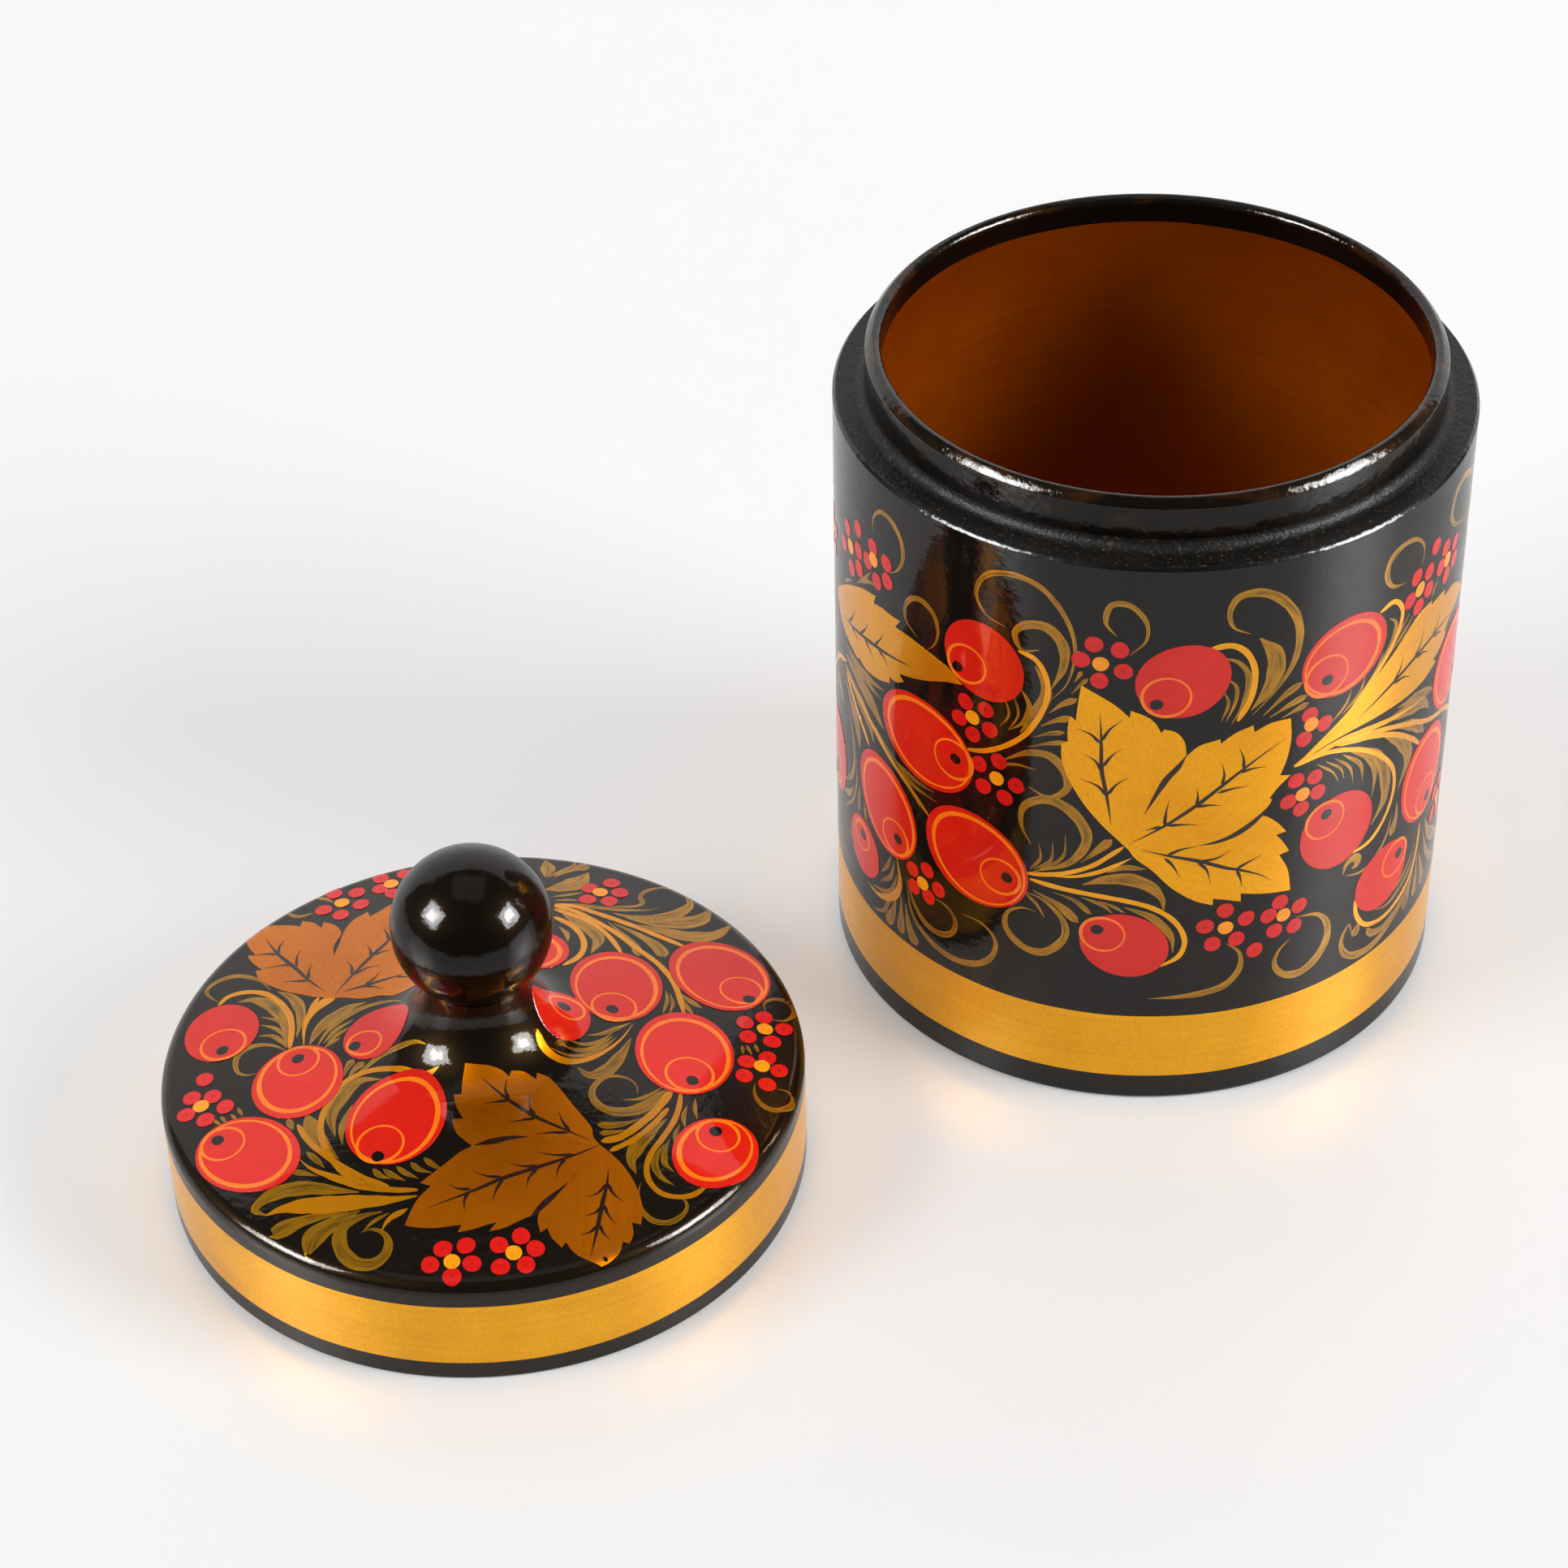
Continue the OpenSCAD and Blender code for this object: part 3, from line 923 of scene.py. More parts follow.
WALL_LEAVES = (
    (
        (-5.6, 46.6, 1), (-7.2, 48.3), (-9.5, 50.7), (-12.1, 54), (-14.5, 58.3), (-15.4, 61.2),
        (-15.5, 63.8, 1), (-14.6, 64.3, 1), (-14.7, 66.5), (-14.4, 68.8, 1), (-13.6, 68.1, 1),
        (-13.3, 71.7), (-13, 74.2, 1), (-10.9, 73.1), (-8.3, 71.5), (-6.3, 69.6, 1), (-6.2, 70.8, 1),
        (-4.2, 70), (-2.8, 68.8), (-2, 67.2, 1), (-1.6, 67.8, 1), (0, 67.3), (1.2, 65.7), (1.6, 63.4, 1),
        (-0.4, 60), (-2.4, 55.5),
    ),
    (
        (-5.6, 46.6, 1), (-2.6, 55.5), (-0.9, 59.2), (1.7, 63.2, 1), (3.2, 64.7), (6.1, 65.6, 1),
        (6.3, 64.8, 1), (8.2, 66.3), (10.7, 67.2, 1), (10.9, 66, 1), (13.3, 67), (16.2, 67, 1),
        (16.5, 63.6), (16.1, 60.2), (15.2, 57.4, 1), (16.8, 57, 1), (15.1, 55.5), (13.8, 53.8, 1),
        (14.2, 53.5), (13.7, 52.4, 1), (10.5, 49.2), (4, 47),
    ),
    (
        (-5.6, 46.6, 1), (4, 47.4), (10.5, 49.5), (12.9, 50.9), (15.1, 49.3), (16.8, 47.1, 1),
        (15.3, 46.9, 1), (16.5, 45.2), (17.5, 43.4, 1), (16, 43.1, 1), (17.5, 40), (18.2, 36, 1),
        (14.4, 36.6), (10.5, 37.6, 1), (10.6, 36.1, 1), (8.6, 36.8), (6.5, 37.4, 1), (6.5, 36.2, 1),
        (3.9, 37.3), (0.5, 39.9), (-2.3, 43.1), (-4.9, 45.4),
    ),
    (
        (17.3, 58.3, 1), (20.5, 60.9), (25, 64.2), (29, 67.3), (33, 70), (37, 72.8), (40.5, 74.4),
        (42.8, 74.6, 1), (43, 73.3, 1), (45, 73.9), (47.3, 73.6, 1), (47.2, 72.6, 1), (50.2, 72.4),
        (54, 70.6), (58, 67.2, 1), (54, 67), (51, 66.6), (48.8, 65.5, 1), (49.8, 64.9, 1), (47.6, 63.4),
        (45.3, 62.8, 1), (46.4, 61.9, 1), (43, 61), (40, 60.8), (31, 61), (26, 60.9), (22, 60.2),
    ),
    (
        (-30.6, 68.6, 1), (-33, 70.3), (-36, 71.1), (-41, 71.8), (-43.7, 71.7, 1), (-42.6, 73.3, 1),
        (-44.5, 73.1), (-47, 73), (-49.2, 72.4, 1), (-48.6, 74, 1), (-52, 73), (-55, 71.6), (-60, 68.5),
        (-65, 64.6, 1), (-62.5, 61.4), (-59, 60.1), (-54.6, 59.3, 1), (-54, 59.8), (-52, 59.4),
        (-48, 60), (-45, 61.2, 1), (-45.2, 62.2, 1), (-43.5, 62.3), (-41.8, 63.3, 1), (-43, 64.1, 1),
        (-40.5, 64.9), (-37, 66.2), (-33.5, 67.8),
    ),
)
WALL_VEINS = (
    (((-8.2, 50.9), (-9, 56), (-9.8, 60.2), (-10, 65), (-10.3, 70)),
     ((-10.1, 64.8), (-11.5, 66.2), (-13.4, 66.8)), ((-10, 65.2), (-8.9, 67.4), (-7.3, 69.1)),
     ((-9.8, 60), (-10.7, 61.7), (-12.2, 62.6)), ((-9.7, 60.8), (-8.5, 62.9), (-7.3, 64.1)),
     ((-8.9, 55.7), (-10.2, 57.4), (-12.7, 58.3)), ((-8.9, 56), (-7.8, 57.9), (-6.2, 59.3))),
    (((-5.7, 47.7), (-1.1, 50.9), (3.2, 54.3), (6.7, 57.4), (9.6, 59.8), (12.5, 61.9), (15.6, 63.7)),
     ((-0.9, 50.9), (-0.8, 53.1), (-0.4, 55.7)), ((3.3, 54.3), (3.5, 55.7), (3.3, 57.4)),
     ((6.7, 57.4), (7, 59.3), (6.6, 61.4)), ((9.7, 59.8), (9.6, 61.7), (8.9, 63.7)),
     ((-0.7, 51.1), (1.5, 51.2), (3.8, 51)), ((3.1, 54.2), (5.3, 54.3), (6.9, 54)),
     ((6.2, 56.3), (8.2, 56.7), (10.4, 56.8)), ((9.1, 59.3), (11, 59.7), (12.9, 59.6)),
     ((-1.1, 50.9), (-2.2, 50.7), (-3.5, 50.2))),
    (((-3.8, 46.8), (-0.4, 45.8), (4.1, 44.5), (8.6, 42.5), (9.8, 42.1), (13.4, 40.2), (14.9, 38.9)),
     ((4.1, 44.4), (6.7, 44.7), (8.5, 45.8)), ((3.9, 44.4), (5.3, 42.8), (6, 40.3)),
     ((-0.7, 45.4), (0.5, 44), (1.6, 41.8)), ((9.5, 42.2), (11.3, 43.1), (13.3, 43.9)),
     ((9.6, 42.1), (10.2, 40.7), (10.6, 38.8)), ((-0.4, 45.8), (1.7, 46.8), (3.9, 47.2))),
    (((1.7, 63.4), (0.5, 61.2), (-0.9, 59.3), (-2.7, 55.5), (-3.7, 53.1)),
     ((13.7, 52.4), (12.5, 50.9), (10.5, 49.3), (8.2, 48.1), (6, 47.5), (3.9, 47.3))),
    (((27.5, 62.5), (34, 65.2), (40, 67), (46, 67.7), (51.5, 67.2)),
     ((34.3, 65.3), (35.8, 67), (36.2, 69)), ((39, 66.8), (40.6, 68.4), (41.1, 70.4)),
     ((44, 67.6), (45.6, 68.8), (46.2, 70.2)), ((34.5, 65.1), (37, 64.9), (38.6, 64)),
     ((39.8, 66.5), (41.8, 66.4), (43.2, 65.5)), ((44.5, 67.2), (46.4, 66.9), (47.7, 66))),
    (((-40.2, 66.9), (-45, 66), (-50, 65.1), (-55, 64), (-61, 62.6)),
     ((-49, 65.3), (-47.8, 66.8), (-46.6, 68.5)), ((-53.5, 64.4), (-52, 66), (-50.9, 67.6)),
     ((-58, 63.5), (-56.6, 65), (-55.4, 67)), ((-48, 65.2), (-46.6, 64.8), (-45.4, 63.8)),
     ((-52, 64.4), (-50.6, 63.8), (-49.4, 62.8)), ((-57, 63.5), (-55.6, 63.2), (-54.3, 62.6))),
)
WALL_STEMS = (
    (0.7, None, (-20, 39.6), (-17.1, 40.2), (-13.8, 41.4), (-10.5, 43.3), (-8.1, 45.5), (-6.4, 47.1)),
    (0.7, 0.7, (-17.1, 40), (-12.8, 40.9), (-9, 42.6), (-5.2, 45.2)),
    (0.8, None, (-19.5, 38.7), (-15.2, 38.3), (-10.5, 38), (-5.7, 37.4), (-2.3, 36.4), (0.5, 34.5),
     (2.2, 32.1), (2.8, 29.6), (2, 27.2), (-0.5, 25.5)),
    (0.8, None, (-22, 77.7), (-19.5, 77), (-17.8, 74), (-17.8, 70.5), (-20, 65), (-23, 61.5),
     (-27, 58.8), (-30, 57.8)),
    (0.9, None, (4, 81), (7, 81.2), (9, 79.8), (10.4, 76.5), (10.1, 72), (8.4, 68.3)),
    (0.8, None, (30.2, 79.3), (33, 79.8), (35, 77.5), (34.7, 74.5), (32.5, 71), (29, 67.5), (25, 63.5),
     (20, 59.8), (17.3, 58.4)),
    (0.75, None, (17.3, 58.3), (22, 58.9), (28, 57), (33, 53.4), (36.4, 49), (37, 45), (35.6, 41.2),
     (32.5, 38.4), (29, 38)),
    (1, 0.3, (17.5, 58.5), (24, 59.9), (29, 59.7), (36, 58.6), (45.5, 57.2)),
    (0.8, None, (24, 59.6), (31, 57.8), (36, 55.4), (41, 51.6), (43.6, 49)),
    (0.8, None, (26, 59.6), (33, 57.9), (40, 55), (46, 51.8), (54, 48.4), (62, 42.5)),
    (0.8, None, (58, 45.6), (62, 42.6), (66, 41.8), (70, 44.2), (73.4, 49), (77, 53), (81.8, 55.4)),
    (0.8, None, (30.4, 28.6), (30.9, 25.5), (33, 22.5), (36.5, 21.2), (40.5, 21.5), (44, 23.2),
     (46.2, 27), (46.8, 32.5)),
    (0.7, None, (-60, 54.5), (-52, 51.7), (-45, 47.8), (-40, 45), (-36.5, 42.5)),
    (0.7, None, (-59.5, 53.5), (-55, 49.8), (-52.6, 48), (-50.8, 46.3)),
    (1.3, 0.5, (-43.4, 30.8), (-42.7, 26), (-44.5, 22.5), (-48.5, 20.3), (-51.5, 20.4)),
)
WALL_GRASS = (
    (1.7, 0.5, (-19, 40.2), (-13.5, 43.5), (-11.5, 48), (-13.5, 52), (-17, 53.6), (-20.6, 51.5),
     (-21, 48), (-19.5, 45)),
    (0.5, 0.3, (-19.5, 40.5), (-18, 43), (-18.3, 45.3)),
    (0.5, 0.3, (-19, 40.6), (-16.5, 43), (-16.3, 46.3)),
    (0.5, 0.3, (-18.4, 40.6), (-14.8, 44), (-14.5, 48)),
    (1.5, 0.75, (-12.2, 43.5), (-10, 46), (-8, 48.3)),
    (2.2, 0.5, (-11.9, 39.6), (-8.5, 41), (-5.2, 41.3), (-2.3, 40), (-0.7, 37.8), (-0.4, 35.9)),
    (1, 0.5, (-8.5, 42.3), (-6.2, 43.4), (-3.1, 43.3)),
    (1.3, 0.5, (-20.4, 36.2), (-17.5, 35.5), (-14.5, 32.5), (-14.2, 29.5), (-17, 26), (-20, 25.8),
     (-23, 28.5), (-22.8, 31.5), (-20.5, 33.1), (-18.5, 33)),
    (0.5, 0.4, (-20.3, 36), (-18.5, 34.5), (-17.2, 32.3)),
    (1.6, 0.75, (-19, 36.8), (-15, 35), (-12.3, 32.5)),
    (0.9, 0.75, (-16, 37.3), (-13, 36.5), (-10.5, 34.4)),
    (0.6, 0.6, (-12, 37.3), (-9, 36.3), (-7.5, 35)),
    (0.6, 0.6, (-9.5, 37), (-7.4, 36.2), (-5.8, 35.2)),
    (1.3, 0.5, (-6, 36.3), (-2, 34.5), (0.8, 31), (1.2, 28)),
    (0.9, 0.35, (-24, 81), (-27, 82), (-28.6, 85), (-27, 88.5), (-23, 89.9), (-19, 89), (-15.5, 85),
     (-14, 80), (-15, 74), (-17, 71)),
    (1.6, 0.4, (-17.2, 72.5), (-15.5, 77), (-15.8, 80.5), (-18, 82.7), (-21, 82.3), (-22.6, 80.5),
     (-21.5, 78), (-19, 78.7)),
    (1.8, 0.5, (-19.5, 76), (-17.8, 72), (-19.8, 67), (-21.5, 64)),
    (0.9, 0.4, (-21.5, 71.5), (-20.2, 69), (-21, 66), (-23, 64)),
    (0.4, 0.4, (-22.5, 70), (-21.8, 67), (-23.3, 63.8)),
    (0.4, 0.4, (-23.8, 69), (-23.2, 66.5), (-24.5, 64)),
    (1.1, 0.75, (-17.3, 68.6), (-15.6, 70.4), (-13.5, 71.8)),
    (1.1, 0.75, (-18.5, 66), (-16.4, 67.5), (-14, 68.5)),
    (0.8, 0.75, (-19.5, 63.8), (-17.4, 65), (-15, 65.8)),
    (0.8, 0.75, (-20.3, 61.9), (-17.4, 63.3), (-14.5, 64.2)),
    (0.7, 0.75, (-14, 74.5), (-13.4, 75.6), (-13, 76.6)),
    (0.7, 0.75, (-14.3, 72.5), (-13.3, 74), (-12.1, 75.5)),
    (1.4, 0.5, (-24.3, 58.2), (-20, 61), (-17, 61.2), (-14.6, 58.5), (-14.6, 56), (-17, 54), (-20, 55)),
    (0.5, 0.4, (-25.5, 56.8), (-22, 58.3), (-19, 58.3)),
    (0.9, 0.3, (-8.5, 83), (-10, 85), (-9.3, 88), (-7, 88.2), (-4.6, 85.5), (-4.6, 82.5), (-6.7, 80)),
    # Left of the front: between the berries, and the tuft under them.
    (2.7, 0.6, (-60, 56.6), (-55, 56), (-50.5, 54.6), (-46.6, 52)),
    (2.4, 0.6, (-60, 54.6), (-55, 52.8), (-51, 50.6), (-49.4, 47.7)),
    (2.4, 0.6, (-60, 52), (-57, 49.3), (-55, 47), (-54, 43.4)),
    (1.2, 0.6, (-60, 58.6), (-52, 58.3), (-46.5, 58.8)),
    (1.1, 0.6, (-60, 57.8), (-52, 57.4), (-47.3, 56.8)),
    (1, 0.5, (-50, 51.5), (-45, 48.5), (-40, 46.3), (-35, 45.8)),
    (0.8, 0.5, (-44, 48.4), (-39, 47.3), (-35.5, 47.3)),
    (0.8, 0.5, (-43.5, 47), (-39.5, 44.6), (-38.2, 42.7)),
    (0.9, 0.5, (-59.5, 49.5), (-57, 44.5), (-56.2, 40), (-57.5, 36), (-61, 33), (-64, 31)),
    (1.1, 0.6, (-56.6, 34.5), (-58.6, 32), (-61.6, 30.4)),
    (0.6, 0.4, (-55.4, 41), (-55.2, 37), (-57, 32), (-62, 27)),
    (1, 0.6, (-54.2, 36.5), (-54.5, 34), (-54.7, 31)),
    (0.7, 0.6, (-52.8, 34.6), (-52.3, 33.2), (-52.2, 31.4)),
    (0.8, 0.5, (-44.8, 30), (-45.8, 27.5), (-47.4, 25.3)),
    (0.8, 0.5, (-44, 29.5), (-45, 26), (-47.8, 23.3)),
    (0.9, 0.5, (-43.3, 27.5), (-45.2, 23), (-50, 20.9)),
    (0.8, 0.5, (-43.2, 24), (-45.5, 21), (-46.7, 18.4), (-50, 16.6)),
    (2.1, 0.82, (-43.7, 23.4), (-44.3, 20), (-45.9, 16.6)),
    (1.8, 0.82, (-42.4, 24), (-42.4, 20), (-42.5, 16.8)),
    (2.1, 0.82, (-41.4, 23.2), (-40.6, 19.5), (-39, 16.7)),
    (1.1, 0.5, (-41.3, 28.5), (-39.8, 22.2), (-36, 19.4), (-31.4, 18.6), (-27.3, 19.9), (-25, 22.5),
     (-24.7, 25.5), (-26.8, 27.6), (-30.3, 27.8)),
    (1.1, 0.4, (-40.9, 28), (-39.5, 24.5), (-37, 22.2), (-34.4, 21.9), (-32.1, 23.2), (-31.4, 25.5),
     (-32.4, 27.3), (-34.4, 28), (-36, 27.7)),
    (0.9, 0.5, (-49.2, 84.5), (-49.3, 86.5), (-47.5, 88.8), (-45, 89), (-42.5, 87), (-42, 84),
     (-43.2, 81.5), (-45, 80)),
    (0.9, 0.5, (-39, 72.6), (-41.3, 74.2), (-41.5, 76.5), (-40, 78.6), (-38, 79.2), (-35.8, 78),
     (-35, 75.5), (-35.7, 73), (-37, 71.5)),
    (0.7, 0.5, (-54.5, 72.5), (-52, 74.8), (-50, 77.2)),
    (0.7, 0.5, (-54, 73), (-51, 75), (-48.5, 75.8)),
    (0.5, 0.5, (-60, 69), (-58.2, 70.6), (-56.5, 71.5)),
    # Right of the front: round the two dotted florets, and the long fan.
    (1.2, 0.5, (-2, 19.4), (2, 19.6), (6, 20), (9, 20.9), (11, 23.4), (10.9, 26.6), (8.8, 28.7)),
    (1.5, 0.5, (18.8, 26.8), (17, 25), (16.5, 22.8), (18, 20.4), (20.8, 19.6), (23.5, 21), (25.2, 23.8),
     (25.1, 27), (23.2, 29.5), (19.5, 30.5)),
    (1.4, 0.4, (9.5, 82.7), (7, 84.2), (6.4, 86.8), (7.5, 89), (10, 89.4), (13, 88), (15.5, 85),
     (16.6, 81.5), (16.2, 77), (14, 73), (10.5, 69)),
    (2.7, 0.4, (10.8, 81.8), (13.2, 78.6), (13.4, 75.6), (12.2, 72.4), (10.2, 69.8)),
    (0.9, 0.5, (5, 79.5), (8, 78.3), (9.6, 75.6), (9, 71), (7.6, 68)),
    (0.6, 0.5, (6, 76), (7.8, 74.5), (8, 72), (6.8, 68.5)),
    (0.5, 0.5, (6.3, 73.5), (7, 71.5), (6.1, 68.6)),
    (1.2, 0.75, (12, 68.5), (15.2, 71.3), (17.6, 72.7)),
    (1.2, 0.75, (13, 68), (16, 69.4), (18.5, 70.2)),
    (1, 0.75, (14.8, 67.4), (17, 68.2), (18.9, 68.8)),
    (1, 0.35, (35.3, 81.8), (32.5, 82.5), (31, 84.7), (31.4, 87.3), (34, 88.6), (37, 88), (39, 85.8),
     (38.9, 82.5)),
    (1, 0.4, (32.3, 77.3), (33.7, 76), (33.6, 73.5), (31.5, 70.5), (28.5, 67.5)),
    (0.6, 0.5, (28.4, 69.5), (27.5, 67), (24.5, 64.5)),
    (0.5, 0.5, (26, 68.3), (25.3, 66.3), (23, 64)),
    (0.6, 0.5, (31.6, 72), (30.5, 69.5), (28, 67)),
    (0.6, 0.5, (38, 75), (35, 72.5), (33, 71)),
    (0.5, 0.5, (36.8, 75.8), (34.5, 73.3), (33, 71.5)),
    (0.5, 0.5, (39.5, 74.3), (36, 72.2), (34.6, 71.2)),
    (0.6, 0.5, (44, 77), (43.2, 76), (42.5, 75)),
    (0.4, 0.4, (21, 57.4), (24, 54.7), (25, 52.7)),
    (0.4, 0.4, (22.5, 57.3), (25.3, 54.8), (26, 52.8)),
    (0.5, 0.4, (24, 57.2), (27, 54.2), (27.8, 51.3)),
    (0.7, 0.4, (25.4, 57.3), (29, 53.8), (29.7, 50.2)),
    (1.1, 0.45, (26.6, 57.3), (30.5, 54.3), (32.2, 50.5), (31.9, 46.6)),
    (2.3, 0.55, (28, 57.4), (32.5, 53.6), (34.5, 49), (34.8, 44.6), (32.4, 41.3)),
    (2.5, 0.5, (32.8, 57.2), (38, 53), (40.2, 49), (38.2, 44.4)),
    (2.3, 0.55, (33, 59.2), (40, 57.8), (43.6, 56.4), (45.8, 54)),
    (2, 0.7, (35, 57.3), (39.6, 55), (42.4, 53), (44.6, 50.6)),
    (1.5, 0.5, (36, 60), (40.6, 59.2), (45, 57.9), (46.6, 56.8)),
    (1.7, 0.8, (38.2, 42), (38.4, 39.4), (37.4, 36.2)),
    (1.5, 0.7, (27.4, 34.7), (27.9, 36.4), (29.3, 37), (30.2, 36.2), (29.9, 35.2), (29, 35.2)),
    (0.7, 0.5, (28, 34.3), (30.5, 33.5), (33, 33.8), (36, 36.5), (37.3, 40.5)),
    (1.4, 0.45, (30.3, 22.2), (29.6, 24.3), (28.5, 23), (28.3, 21), (29.5, 18.8), (32, 17.4),
     (35.5, 17.2), (40, 18.9), (44, 21.5), (46.4, 26)),
    (1.8, 0.3, (30.4, 21.6), (31.2, 22.4), (31.6, 23.8)),
    (1.3, 0.15, (33.6, 21.4), (34.6, 19.9), (37, 19.1), (40, 19.8), (44, 22), (46.2, 25.6)),
    (0.8, 0.5, (35, 24), (38, 23), (41, 23.7), (44, 25.5), (45.8, 29)),
    (0.7, 0.5, (36.6, 25.4), (40, 24.9), (43, 26.4), (45.4, 29.8)),
    (1.9, 0.82, (46.4, 26.4), (44.9, 22), (43.5, 18.3)),
    (1.8, 0.82, (47, 26.6), (47.1, 22), (47.1, 18.4)),
    (1.9, 0.82, (47.6, 26.4), (49.4, 22), (50.4, 18.5)),
    (2.3, 0.6, (49, 31.5), (51.5, 27.5), (55, 24.6), (59, 21.8)),
    (1.2, 0.6, (48.6, 29.5), (51, 24.5), (54, 21), (58, 18.6)),
    (1.6, 0.5, (70.4, 44.6), (71.6, 41.4), (70.6, 38.2), (67.8, 36)),
    (1.5, 0.6, (75.6, 51.6), (76.8, 49), (80.2, 46.4)),
    (1.3, 0.6, (73.2, 49.2), (71.6, 50.8), (67.8, 50.8), (65.2, 48.8)),
    (1, 0.6, (76.4, 52.8), (75.8, 56.6), (76.6, 60)),
    (0.7, 0.5, (68.6, 43.6), (67.2, 45.6), (64.6, 46)),
    (1.3, 0.35, (53, 82), (49, 83.5), (47, 86), (48, 89), (51, 90), (55, 88.5), (60, 86), (66, 82),
     (70, 78)),
)
# Curls at the side: width, centre, radius, first angle and winding.
WALL_CURLS = (
    (1.2, 61.5, 76.5, 4.6, 200, -330),
    (1.3, 66, 66, 5, 30, 320),
    (1.1, 63.5, 40.5, 4.2, 120, 300),
    (1.2, 64.5, 22, 3.9, 250, -320),
    (1, 70.5, 56.5, 3.6, 0, 310),
)


# ---------------------------------------------------------------- ornament of the lid
# x is to the right of the lid's axis and y behind it, in millimetres seen from above.
LID_BERRIES = (
    (-37.3, 4.9, 12.4, 10.6, -85, False, (-36.8, 2.2, 3.2), (-36.8, 0.9)),
    (-25.3, -7.8, 12.8, 14.2, 0, True, (-25.5, -3.8, 2.9), (-25.6, -3.3)),
    (-31.3, -20.3, 15.6, 12.9, -38, True, (-35, -17.8, 3), (-35.8, -17)),
    (-10.9, -16.9, 16.2, 13.6, 75, True, (-12.9, -21.2, 3.2), (-13.1, -23.3)),
    (-14.6, -0.3, 10.9, 8.6, 60, False, (-16.2, -2.1, 2.4), (-17.6, -2.5)),
    (18.8, 9.9, 13.2, 16.1, 0, True, (18.6, 4.8, 3.1), (18.4, 4.2)),
    (33.5, 14.5, 16.3, 14, -60, True, (36.6, 11.4, 3), (37.7, 9.5)),
    (28.6, -3.3, 14, 16.4, 0, True, (29.3, -7.6, 3.3), (29.7, -8.8)),
    (32.8, -21.8, 13.4, 11.1, 56, True, (33.2, -18.8, 2.9), (32.9, -18)),
    (11.5, 1, 7.7, 10.2, -8, False, (12.1, 2.7, 2.4), (11.7, 2.7)),
    (7, 17.4, 9.8, 10, 0, True, (5.2, 15.6, 2.5), (4.8, 15.2)),
    (-4.1, 18, 8.8, 8.4, 20, True, (-5.2, 16.6, 2.1), (-5.7, 15.9)),
)
LID_FLORETS = (
    ((-22.3, 33.5),
     ((-23.7, 36.3), (-20.3, 36), (-19.4, 32.6), (-22.2, 30.2), (-24.9, 32), (-24.4, 38.3))),
    ((-15.3, 37.7), ((-17, 39.5), (-16.8, 36.5), (-14.8, 34.9), (-13.4, 40.3), (-12.2, 36.8))),
    ((15.9, 33.9), ((17.5, 36.6), (18.8, 34), (17.3, 31.5), (14.1, 31.8), (14.3, 35))),
    ((39.9, 3.3), ((39.8, 5.8), (42.6, 3.7), (40.9, 0.8), (37.5, 1.3), (37.1, 4.3))),
    ((39.4, -4.5), ((40.2, -2.7), (41.8, -5.1), (40.1, -8.1), (36.9, -6.8), (37.3, -3.9))),
    ((-38.8, -9.9),
     ((-40.3, -8), (-37.3, -8.3), (-35.3, -10.7), (-37.9, -12.7), (-40.8, -11.2), (-38.8, -4.6))),
    ((-2.3, -41.2), ((-3.6, -39.1), (-5.2, -41.6), (-2.2, -43.5), (-0.5, -38.7), (0.4, -41.6))),
    ((5.9, -40), ((6.8, -37.3), (8.8, -39.3), (7.6, -41.9), (4.2, -42.2), (3.9, -38.7))),
)
